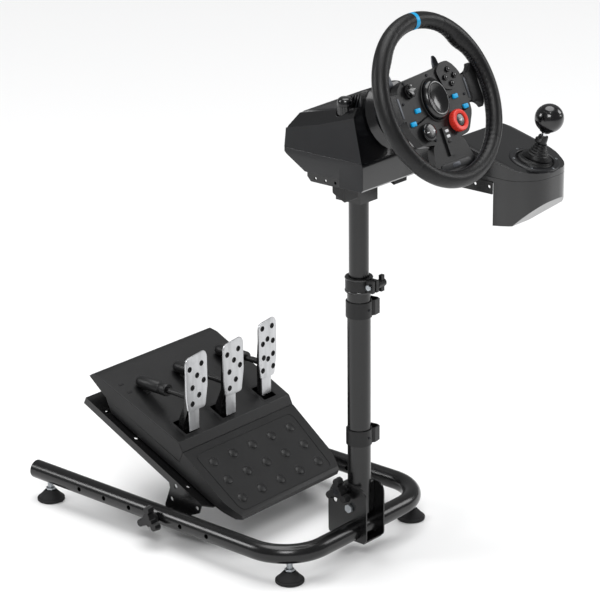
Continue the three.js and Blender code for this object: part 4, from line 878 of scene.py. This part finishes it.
class STAND_OT_rim(bpy.types.Operator):
    """Make the leather rim with its seams, stitching and centre mark"""

    bl_idname = "stand.rim"
    bl_label = "Rim"

    def execute(self, context):
        seams = [math.radians(a) for a in (90 - 27, 90 + 27, 90 - 132, 90 + 132)]
        around, across = 504, 40
        bm = bmesh.new()
        rings = []
        for i in range(around):
            a = 2 * math.pi * i / around
            near = min(abs(math.remainder(a - s, 2 * math.pi)) for s in seams)
            groove = 0.55 * math.exp(-(((near * RIM_R) / 1.1) ** 2))
            bulge = sum(math.exp(-((math.remainder(a - math.radians(b), 2 * math.pi) / 0.17) ** 2))
                        for b in (41, 139))
            ring = []
            for k in range(across):
                t = 2 * math.pi * k / across
                inward = max(0.0, -math.cos(t))
                pucker = 0.5 * inward ** 4 * (1 + math.cos(a * 84)) * (1 - 0.6 * bulge)
                seam = 0.8 * math.exp(-((math.remainder(t - math.pi, 2 * math.pi) / 0.09) ** 2))
                thumb = 4.6 * bulge * max(0.0, -math.cos(t - 0.5)) ** 1.6
                r = GRIP - groove - pucker - seam + thumb - 0.8 * inward * (1 - bulge)
                ring.append(bm.verts.new(on_rim(a, t, r)))
            rings.append(ring)
        for low, high in zip(rings, rings[1:] + rings[:1]):
            skin(bm, low, high)
        matter(bm, "rim_leather", WHEEL, "grained_leather", "steering", ("rim",), 60)
        sizes = context.scene.stand_sizes
        for name, slant, lift in (("rim_stitches", 0.62, -0.9), ("rim_stitches_crossed", -0.62, 0.9)):
            grow(tree_named("stitches"), points([(0, 0, 0)]),
                 {"Count": sizes.stitches, "Ring radius": RIM_R - GRIP + 0.75,
                  "Length": sizes.stitch_length * 1000, "Thickness": 1.15, "Slant": slant},
                 name, "waxed_thread_painted_highlight", "steering", WHEEL @ at(0, 0, lift))
        band = bmesh.new()
        rings = []
        for i in range(7):
            a = math.pi / 2 + (i - 3) / 3 * 5.2 / RIM_R
            r = GRIP + (0.1 if 0 < i < 6 else -0.4)
            rings.append([band.verts.new(on_rim(a, 2 * math.pi * k / 48, r)) for k in range(48)])
        for low, high in zip(rings, rings[1:]):
            skin(band, low, high)
        for end in (rings[0], rings[-1]):
            band.faces.new(end)
        matter(band, "rim_centre_mark", WHEEL, "blue_abs", "steering")
        return {"FINISHED"}


# ---------- hub ----------
FACE_W = -8
FACE_BUTTONS = {"top": (51, 43), "right": (63, 31), "bottom": (51, 19), "left": (39, 31)}
BLUE_BUTTONS = {"right_upper": (52, -3), "right_lower": (70, -24), "left_upper": (-50, -7),
                "left_lower": (-70, -26)}


class STAND_OT_hub(bpy.types.Operator):
    """Make the hub, its spokes, centre dish and trim"""

    bl_idname = "stand.hub"
    bl_label = "Hub"

    def execute(self, context):
        soften("spoke_frame", 1.5, "grained_black_abs", 3)
        dish = [(0, -7.6), (33, -7.6), (34.4, -7.2), (35, -5.6), (34.2, -3.6), (31.4, 1.4), (29, 2.8),
                (26.6, 2.9), (24.8, 2.2), (18, -0.9), (10, -2.6), (4, -3.2), (0, -3.3)]
        matter(lathe(dish, 96, 0.82), "hub_dish", WHEEL @ at(-1, 2, 0), "polished_black_abs", "steering",
               ("hub_cap",), 50)
        rim = lathe([(35.1, -7.9), (37.4, -7.9), (37.6, -6.6), (36.6, -5.9), (35.3, -6.4)], 96, 0.84)
        matter(rim, "hub_dish_trim", WHEEL @ at(-1, 2, 0), "grained_black_abs", "steering")
        for side, sign in SIDES:
            flare = [(91, -20.4), (100, -21.2), (106, -23.6), (111, -28), (114, -33.5), (118, -30), (122, -20),
                     (122, 30), (118, 40), (114, 43.5), (111, 38), (106, 33.6), (100, 31.2), (91, 30.4)]
            wrap = prism([(sign * u, v) for u, v in flare][::sign], -20, -5.6, 3.2)
            matter(wrap, f"spoke_wrap_{side}", WHEEL, "grained_leather", "steering", angle=60)
            pipe = bmesh.new()
            for k in range(9):
                v = -18 + 46 * k / 8
                lathe([(0, -3.1), (0.9, -2.4), (0.9, 2.4), (0, 3.1)], 10, bm=pipe,
                      matrix=at(sign * 93.6, v, -6.7) @ ALONG_Y)
            matter(pipe, f"spoke_wrap_stitches_{side}", WHEEL, "waxed_thread_painted_highlight", "steering")
            inlay = prism([(sign * 86, -13), (sign * 90.5, -13), (sign * 90.5, 22), (sign * 86, 22)][::sign],
                          -8.2, -7.2, 0.3, 1)
            matter(inlay, f"spoke_inlay_{side}", WHEEL, "anodised_aluminium", "steering")
        plate = prism([(-36, -104), (36, -104), (43, -116.5), (-43, -116.5)][::-1], -8.4, -6.6, 0.7, 4)
        matter(plate, "lower_spoke_plate", WHEEL, "satin_side_panel", "steering")
        inner = prism([(-9, -106.5), (9, -106.5), (10.5, -114), (-10.5, -114)][::-1], -7, -6.1, 0.3, 2)
        matter(inner, "lower_spoke_badge_blank", WHEEL, "anodised_aluminium", "steering")
        for k, v in enumerate((-53, -62, -71)):
            dot = prism([(-4, v - 2.4), (4, v - 2.4), (4, v + 2.4), (-4, v + 2.4)], -5, -3.4, 0.5, 1.6)
            matter(dot, f"strip_button_{k + 1}", WHEEL, "white_abs" if k < 2 else "grained_black_abs",
                   "steering")
        places = ((-78, 10), (78, -4), (-30, -62), (24, -62), (-62, 42), (0, 44))
        screws([(u, v, FACE_W + 0.4) for u, v in places], 2.6, 1.2, "hub_screws", "blackened_steel",
               "steering", WHEEL)
        for side in ("left", "right"):
            soften(f"paddle_{side}", 0.9, "anodised_aluminium")
        return {"FINISHED"}


class STAND_OT_controls(bpy.types.Operator):
    """Make the buttons, the selector dial, the rocker and the direction pad"""

    bl_idname = "stand.controls"
    bl_label = "Controls"

    def execute(self, context):
        cap = [(0, -9.5), (4.4, -9.5), (4.4, -3.4), (4.1, -2.2), (3.2, -1.3), (1.6, -0.9), (0, -0.8)]
        for label, (u, v) in FACE_BUTTONS.items():
            matter(lathe(cap, 40), f"button_{label}_cap", WHEEL @ at(u, v, 0), "polished_black_abs",
                   f"button_{label}", (f"button_{label}",), 50)
            ring = lathe([(5.2, -5.2), (6.3, -5.2), (6.1, -4.5), (5.4, -4.5)], 40)
            matter(ring, f"button_{label}_ring", WHEEL @ at(u, v, 0), "satin_side_panel", "steering")
        for label, (u, v) in BLUE_BUTTONS.items():
            block = prism([(u - 6, v - 4), (u + 6, v - 4), (u + 6, v + 4), (u - 6, v + 4)], -11.5, -5, 1.1, 2.2)
            matter(block, f"blue_button_{label}_cap", WHEEL, "blue_abs", f"blue_button_{label}",
                   (f"blue_button_{label}",), 50)
        dial_place = WHEEL @ at(34, -43, 0)
        dial = lathe([(11.2, 0.6), (11.2, 4.4), (12.2, 5), (17, 5), (18, 4), (18.2, -4), (17.4, -7), (11, -7)],
                     72)
        matter(dial, "selector_dial_ring", dial_place, "red_abs", "selector_dial", ("selector_dial",))
        grow(tree_named("ribs"), points([(0, 0, 0)]),
             {"Count": 24, "Ring radius": 17.8, "Width": 2.5, "Depth": 2.4, "Height": 9.0},
             "selector_dial_knurl", "red_abs", "selector_dial", dial_place @ at(0, 0, -0.5))
        core = lathe([(0, -13.8), (3.7, -13.8), (3.7, -6.7), (10.9, -6.7), (10.9, 1.6), (9.6, 2.8), (3, 3.3),
                      (0, 3.3)], 48)
        matter(core, "selector_dial_centre", dial_place, "polished_black_abs", "selector_dial")
        mark = prism([(-3.4, -0.8), (1.0, -0.8), (1.0, -2.8), (4.2, 0), (1.0, 2.8), (1.0, 0.8), (-3.4, 0.8)],
                     3.1, 3.7, 0.15)
        matter(mark, "selector_dial_mark", dial_place, "white_abs", "selector_dial")
        rocker_place = WHEEL @ at(-44, -46, 0)
        rocker = lathe([(0, -11), (4, -11), (4, -6), (14.6, -6), (15.3, -5), (15.3, -1), (14, 0.4), (9, 1),
                        (0, 1.1)], 64)
        matter(rocker, "plus_minus_disc", rocker_place, "polished_black_abs", "plus_minus_rocker",
               ("plus_minus_rocker",), 50)
        signs = bmesh.new()
        prism([(-10.5, -0.8), (-4.5, -0.8), (-4.5, 0.8), (-10.5, 0.8)], 0.6, 1.5, 0.15, bm=signs)
        prism([(4.5, -0.8), (10.5, -0.8), (10.5, 0.8), (4.5, 0.8)], 0.6, 1.5, 0.15, bm=signs)
        prism([(6.7, -3), (8.3, -3), (8.3, 3), (6.7, 3)], 0.6, 1.45, 0.15, bm=signs)
        matter(signs, "plus_minus_signs", rocker_place, "white_abs", "plus_minus_rocker")
        pad = lathe([(0, -11), (4, -11), (4, -6), (12, -6), (12.3, -5.4), (12.3, -3.4), (11, -2.8), (0, -2.6)],
                    64)
        arms = [(-4, -11), (4, -11), (4, -4), (11, -4), (11, 4), (4, 4), (4, 11), (-4, 11), (-4, 4), (-11, 4),
                (-11, -4), (-4, -4)]
        prism(arms, -4, 0.6, 0.8, 0.9, bm=pad)
        matter(pad, "dpad_cross", WHEEL @ at(-56, 27, 0), "polished_black_abs", "dpad", ("dpad",), 50)
        return {"FINISHED"}


# ---------- shifter ----------
# Heights above the lever's pivot between which the lower fold turns from upright to the lever's lean.
FOLD_FIXED = 32
FOLD_FREE = 37


class STAND_OT_shifter(bpy.types.Operator):
    """Make the shifter's body, gaiter, lever and knob"""

    bl_idname = "stand.shifter"
    bl_label = "Shifter"

    def execute(self, context):
        soften("shifter_deck", context.scene.stand_sizes.bevel * 1000, "powder_coated_steel")
        soften("shifter_upper_shell", 2.4, "polished_black_abs", 4)
        soften("shifter_lower_shell", 2.0, "polished_black_abs", 4)
        ring = [(33.4, -2.4), (33.4, 1.2), (34.6, 2.6), (38, 3.2), (42, 2.6), (44.6, 0.8), (45, -0.6),
                (45, -2.4)]
        matter(lathe(ring, 96, 1.06), "shifter_ring", SHIFT, "satin_side_panel", "head", angle=50)
        turns = [math.pi / 3 * (k + 0.5) for k in range(6)]
        places = [(41.5 * math.cos(a), 39.5 * math.sin(a), 2.2) for a in turns]
        screws(places, 2.4, 1.4, "shifter_ring_screws", "zinc_plated_steel", "head", SHIFT)
        # The lower fold lies on a sphere about the lever's pivot, under the upper fold, and its top is leant as
        # the lever is.
        pivot = SHIFT @ at(0, 0, -LEVER_PIVOT)
        fold = []
        for k in range(25):
            a = math.radians(47 - 23 * k / 24)
            r = 46 + 0.55 * math.cos(k * math.pi / 3)
            fold.append((r * math.sin(a), r * math.cos(a)))
        under = [(x * 0.965, z * 0.965) for x, z in reversed(fold)]
        dome = lathe(fold + under, 64)
        for vert in dome.verts:
            share = min(max((vert.co.z - FOLD_FIXED) / (FOLD_FREE - FOLD_FIXED), 0), 1)
            vert.co = Matrix.Rotation(LEVER_LEAN * share, 3, "Y") @ vert.co
        lower = matter(dome, "gaiter_lower", pivot, "grained_leather", None, angle=60)
        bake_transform(lower)
        skirt = []
        for k in range(13):
            a = math.radians(33 - 9 * k / 12)
            r = 48.4 + 0.5 * math.cos(k * math.pi / 2)
            skirt.append((r * math.sin(a), r * math.cos(a)))
        for k in range(1, 22):
            t = k / 21
            skirt.append((skirt[12][0] + (10.2 - skirt[12][0]) * (1 - (1 - t) ** 1.7) + 0.7 * math.sin(k * 1.5),
                          skirt[12][1] + (66 - skirt[12][1]) * t))
        skirt += [(8.6, 66.6), (7.6, 65)]
        inside = [(max(x - 1.6, 7.4), z - 0.5) for x, z in reversed(skirt[:-2])]
        upper = matter(lathe(skirt + inside, 64), "gaiter_upper", LEVER, "grained_leather", None,
                       ("shifter_boot",), 60)
        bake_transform(upper)
        sleeve = lathe([(5.3, -12), (7, -12), (7, 64), (8.6, 66), (8.9, 67.4), (8.9, 78), (8.2, 80),
                        (5.3, 80)], 48)
        prism([(-19, -4.6), (-6, -4.6), (-6, 4.6), (-19, 4.6)], 70.4, 79, 1.4, 3, bm=sleeve)
        matter(sleeve, "lever_sleeve_moulded", LEVER, "grained_black_abs", "lever_sleeve", ("lever_sleeve",))
        soften("shifter_gimbal", 0.6, "grained_black_abs")
        lever = lathe([(0, -20), (4.6, -20), (5, -19.4), (5, 91), (0, 91)], 48)
        matter(lever, "shift_lever_chromed", LEVER, "polished_chrome", "shift_lever", ("shift_lever",))
        centre, radius = LEVER_PIVOT + 79, 25.4
        ball = [(0, centre - radius)]
        for k in range(1, 47):
            a = math.pi * k / 48
            # One ring is drawn in, as the seam round the knob's cap.
            r = radius - (0.5 if k == 34 else 0.0)
            ball.append((r * math.sin(a), centre - r * math.cos(a)))
        ball.append((0, ball[-1][1]))
        matter(lathe(ball, 72), "ball_knob_polished", LEVER, "polished_black_abs", "shift_lever",
               ("ball_knob",), 50)
        neck = [(5.4, 86.4), (8.2, 86.8), (9.6, 88), (10.2, 90.5), (5.4, 91.5)]
        matter(lathe(neck, 48), "ball_knob_neck", LEVER, "grained_black_abs", "shift_lever")
        return {"FINISHED"}


# ---------- pedals ----------
PEDALS = {
    "clutch": {"x": -105, "left": 32, "right": 24, "low": 236, "high": 345, "lean": 302, "arm": 312,
               "holes": [(-22, 82), (9, 86), (-3, 66), (14, 52), (-16, 45), (1, 27), (-17, 14)]},
    "brake": {"x": -6, "left": 31, "right": 23, "low": 236, "high": 343, "lean": 302, "arm": 312,
              "holes": [(-21, 81), (9, 85), (-3, 66), (13, 52), (-16, 46), (1, 27), (-16, 14)]},
    "accelerator": {"x": 110, "left": 30, "right": 19, "low": 230, "high": 346, "lean": 320, "arm": 327,
                    "holes": [(-20, 100), (7, 99), (-6, 76), (-19, 69), (9, 69), (-17, 41), (9, 43), (-5, 36),
                              (-20, 16), (9, 18)]},
}


class STAND_OT_pedals(bpy.types.Operator):
    """Make the three pedals with their drilled plates, arms and push rods"""

    bl_idname = "stand.pedals"
    bl_label = "Pedals"

    def execute(self, context):
        for name, size in PEDALS.items():
            x, low, high, lean, arm = (size[k] for k in ("x", "low", "high", "lean", "arm"))
            left, right = x - size["left"], x + size["right"]
            body = f"{name}_pedal"
            outline = [(left + 4, low), (right - 7, low), (right, low + 40), (right, high - 10),
                       (right - 6, high), (left + 5, high - 5), (left, high - 13), (left, low + 30)]
            plate = prism(outline, 1.6 - lean, 5 - lean, 0.7, 6)
            tool = bmesh.new()
            for u, v in size["holes"]:
                lathe([(0, -lean), (4.1, -lean), (4.1, 10 - lean), (0, 10 - lean)], 28, bm=tool,
                      matrix=at(x + u, low + v, 0))
            matter(carve(plate, tool), f"{name}_plate", BUILD @ UPRIGHT, "brushed_stainless", body, (body,))
            middle = (left + right) / 2
            backing = prism([(middle + (u - middle) * 0.94, 292 + (v - 292) * 0.965) for u, v in outline],
                            -lean, 1.8 - lean, 0.4, 6)
            matter(backing, f"{name}_plate_backing", BUILD @ UPRIGHT, "matt_rubber", body)
            rims = bmesh.new()
            for u, v in size["holes"]:
                lathe([(4.0, 4.2), (5.4, 4.7), (5.4, 5.25), (4.5, 5.45), (4.0, 5.0)], 28, bm=rims,
                      matrix=at(x + u, low + v, -lean))
                lathe([(0, 1.6), (2.9, 1.6), (2.9, 3.0), (2.2, 3.6), (0, 3.8)], 20, bm=rims,
                      matrix=at(x + u, low + v, -lean))
            matter(rims, f"{name}_grip_nubs", BUILD @ UPRIGHT, "matt_rubber", body)
            side = [(340, 152), (328, 152), (326, 195), (arm, 235), (arm - 4, high - 14), (arm + 4, high - 12),
                    (arm + 10, 262), (arm + 10, 242), (337, 208)]
            bar = prism(side, x - 13.6, x + 13.6, 1.2, 3, matrix=SIDE_ON)
            matter(bar, f"{name}_arm", BUILD, "powder_coated_steel", body)
            strap = prism([(x - 12.6, 191), (x + 12.6, 191), (x + 13.4, low + 16), (x - 13.4, low + 16)],
                          0.1 - arm, 2.6 - arm, 0.6, 1.5)
            matter(strap, f"{name}_strap", BUILD @ UPRIGHT, "brushed_stainless", body)
            stand = prism([(x - 9, low + 12), (x + 9, low + 12), (x + 9, high - 26), (x - 9, high - 26)],
                          -arm - 2, 0.4 - lean, 0.8, 2)
            lathe([(0, -24), (6, -24), (6, 24), (0, 24)], 32, bm=stand,
                  matrix=UPRIGHT.inverted() @ at(x, 335, 163) @ ALONG_X)
            matter(stand, f"{name}_stand", BUILD @ UPRIGHT, "grained_black_abs", body)
            screws([((x - 0.5, arm - 0.2, high - 21), (0, -1, 0)), ((x - 0.5, arm - 0.2, low + 7), (0, -1, 0))],
                   3.2, 1.8, f"{name}_arm_screws", "zinc_plated_steel", body, BUILD)
            tip = arm + 10.5
            rod = lathe([(0, tip), (2, tip), (5.5, tip + 4), (5.5, 404), (0, 404)], 40)
            for k in range(5):
                y = tip + 8 + 3.2 * k
                lathe([(5.3, y), (6.0, y + 1.1), (5.3, y + 2.2)], 40, bm=rod)
            matter(rod, f"{name}_push_rod", BUILD @ at(x, 0, 252) @ ALONG_Y, "grained_black_abs",
                   f"{name}_rod", (f"{name}_rod",))
        springs = bmesh.new()
        for size in PEDALS.values():
            shape = [(0, 452), (5, 452), (8.4, 449.6), (10.8, 445.6), (12, 440), (12, 396), (11.4, 395),
                     (11.4, 391), (12, 390), (12, 376), (11.2, 374), (6.2, 374), (6.2, 431), (0, 431)]
            lathe(shape[::-1], 56, bm=springs, matrix=at(size["x"], 0, 252) @ ALONG_Y)
            x = size["x"]
            prism([(x - 5, 425), (x + 5, 425), (x + 5, 435), (x - 5, 435)], 218, 242, 0.6, 1.2, bm=springs)
        prism([(-115, 424), (120, 424), (120, 436), (-115, 436)], 212, 223, 0.8, 2, bm=springs)
        matter(springs, "spring_housings", BUILD, "grained_black_abs", "tray", ("spring_carrier",))
        return {"FINISHED"}


class STAND_OT_tray(bpy.types.Operator):
    """Make the pedal tray, the pedals' housing and the footrest"""

    bl_idname = "stand.tray"
    bl_label = "Tray and footrest"

    def execute(self, context):
        sizes = context.scene.stand_sizes
        soften("pedal_tray", sizes.bevel * 1000, "powder_coated_steel")
        soften("pedal_base", 4, "grained_black_abs", 5)
        soften("pedal_cover", 4.5, "grained_black_abs", 5)
        pitch = sizes.stud_pitch * 1000
        slope = math.atan2(46.5 - 17, 102 + 46)

        def rise(s):
            return 17 + (s + 46) * math.tan(slope)

        way = (0, -math.sin(slope), math.cos(slope))
        places = [((pitch * (k - (sizes.studs - 1) / 2), s, rise(s) - 0.2), way)
                  for s in (-22, 20, 62) for k in range(sizes.studs)]
        grow(tree_named("domes"), points(places), {"Radius": 9.6, "Rise": 2.4}, "footrest_studs",
             "grained_black_abs", "tray", TRAY)
        ring = bmesh.new()
        lean = Matrix.Rotation(slope, 4, "X")
        for place, _ in places:
            lathe([(10.4, -0.4), (10.8, 0.35), (11.8, 0.45), (12.4, -0.4)], 32, bm=ring,
                  matrix=at(*place) @ lean)
        half = pitch * (sizes.studs - 1) / 2 + 26
        path = rounded([(-half + 6, -44), (half - 6, -44), (half, 88), (-half, 88)], 16, 8)
        outer = [(x * 1.012, (y - 22) * 1.024 + 22) for x, y in path]
        loops = [[ring.verts.new((x, y, rise(y) + up)) for x, y in line]
                 for line, up in ((path, -0.5), (path, 0.7), (outer, 0.7), (outer, -0.5))]
        for low, high in zip(loops, loops[1:] + loops[:1]):
            skin(ring, low, high)
        matter(ring, "footrest_border", TRAY, "grained_black_abs", "tray")
        for side, sign in SIDES:
            grow(tree_named("slots"), points([(0, 0, 0)]),
                 {"Count": 2, "Step": (0.0, 24.0, -0.8), "Size": (12.0, 5.0, 2.4)},
                 f"cover_notches_{side}", "matt_rubber", "tray", TRAY @ at(sign * 136, 268, 53.1))
        for name, size in PEDALS.items():
            gasket = prism([(size["x"] - 21.5, 124.5), (size["x"] + 21.5, 124.5), (size["x"] + 21.5, 169.5),
                            (size["x"] - 21.5, 169.5)], 55.4, 57.4, 0.5, 3)
            tool = prism([(size["x"] - 17, 128.5), (size["x"] + 17, 128.5), (size["x"] + 17, 165.5),
                          (size["x"] - 17, 165.5)], 50, 64, 0, 3)
            tilt = at(0, 147, 57.3) @ Matrix.Rotation(-math.atan(7 / 208), 4, "X") @ at(0, -147, -56.8)
            matter(carve(gasket, tool), f"{name}_well_gasket", TRAY @ tilt, "matt_rubber", "tray")
        return {"FINISHED"}


# ---------- stage ----------
class STAND_OT_stage(bpy.types.Operator):
    """Make the floor, the lights and the camera"""

    bl_idname = "stand.stage"
    bl_label = "Stage"

    def execute(self, context):
        floor = bmesh.new()
        bmesh.ops.create_grid(floor, x_segments=1, y_segments=1, size=8.0)
        mesh = bpy.data.meshes.new("floor")
        floor.to_mesh(mesh)
        floor.free()
        ground = bpy.data.objects.new("floor", mesh)
        ground.location.z = -0.0005
        context.collection.objects.link(ground)
        paint = bpy.data.materials.new("pale_floor")
        paint.use_nodes = True
        shader = paint.node_tree.nodes["Principled BSDF"]
        shader.inputs["Base Color"].default_value = linear("#f1f1f1")
        shader.inputs["Roughness"].default_value = 0.6
        mesh.materials.append(paint)
        world = bpy.data.worlds.new("studio")
        context.scene.world = world
        world.use_nodes = True
        world.node_tree.nodes["Background"].inputs["Color"].default_value = linear("#f4f5f6")
        world.node_tree.nodes["Background"].inputs["Strength"].default_value = 0.3
        lamps = [("key", (-2.6, -2.2, 3.2), 1.5, 75.0), ("fill", (3.4, -2.2, 2.4), 1.6, 40.0),
                 ("edge", (-2.6, 2.6, 2.4), 1.2, 45.0), ("overhead", (0.4, 0.2, 4.0), 0.9, 2.3)]
        for name, place, size, power in lamps:
            kind = "SUN" if name == "overhead" else "AREA"
            lamp = bpy.data.lights.new(name, kind)
            setattr(lamp, "angle" if kind == "SUN" else "size", size)
            lamp.energy = power
            made = bpy.data.objects.new(name, lamp)
            made.location = place
            made.rotation_mode = "QUATERNION"
            made.rotation_quaternion = (Vector((0, 0, 0.5)) - Vector(place)).to_track_quat("-Z", "Y")
            context.collection.objects.link(made)
        sizes = context.scene.stand_sizes
        data = bpy.data.cameras.new("camera")
        data.lens = sizes.lens
        data.sensor_width = 36
        data.clip_end = 50
        camera = bpy.data.objects.new("camera", data)
        context.collection.objects.link(camera)
        turn, tip, roll = math.radians(48.983), math.radians(19.677), math.radians(-0.613)
        ahead = Vector((math.sin(turn) * math.cos(tip), math.cos(turn) * math.cos(tip), -math.sin(tip)))
        right = Vector((math.cos(turn), -math.sin(turn), 0))
        up = right.cross(ahead)
        right, up = (right * math.cos(roll) + up * math.sin(roll), up * math.cos(roll) - right * math.sin(roll))
        spin = Matrix((right, up, -ahead)).transposed().to_4x4()
        camera.matrix_world = Matrix.Translation(sizes.camera) @ spin
        context.scene.camera = camera
        context.scene.view_settings.view_transform = "Standard"
        return {"FINISHED"}


class STAND_PT_panel(bpy.types.Panel):
    """Lists the pieces in the order they are made"""

    bl_idname = "STAND_PT_panel"
    bl_label = "Wheel stand"
    bl_space_type = "VIEW_3D"
    bl_region_type = "UI"
    bl_category = "Wheel stand"

    def draw(self, context):
        for operator in OPERATORS:
            self.layout.operator(operator.bl_idname)
        for name in StandSizes.__annotations__:
            self.layout.prop(context.scene.stand_sizes, name)
        for name in StandFinishes.__annotations__:
            self.layout.prop(context.scene.stand_finishes, name)


OPERATORS = (STAND_OT_stage, STAND_OT_base, STAND_OT_feet, STAND_OT_bracket, STAND_OT_column,
             STAND_OT_wheel_unit, STAND_OT_rim, STAND_OT_hub, STAND_OT_controls, STAND_OT_shifter,
             STAND_OT_tray, STAND_OT_pedals)
CLASSES = (StandFinishes, StandSizes, *OPERATORS, STAND_PT_panel)


def register():
    """Register the settings, the operators and the panel."""
    for kind in CLASSES:
        bpy.utils.register_class(kind)
    bpy.types.Scene.stand_finishes = PointerProperty(type=StandFinishes)
    bpy.types.Scene.stand_sizes = PointerProperty(type=StandSizes)


def unregister():
    """Take away what register added."""
    del bpy.types.Scene.stand_sizes
    del bpy.types.Scene.stand_finishes
    for kind in reversed(CLASSES):
        bpy.utils.unregister_class(kind)


def main():
    """Make the stage and every piece in order."""
    register()
    make_materials()
    for operator in OPERATORS:
        group, name = operator.bl_idname.split(".")
        getattr(getattr(bpy.ops, group), name)()


if __name__ == "__main__":
    main()
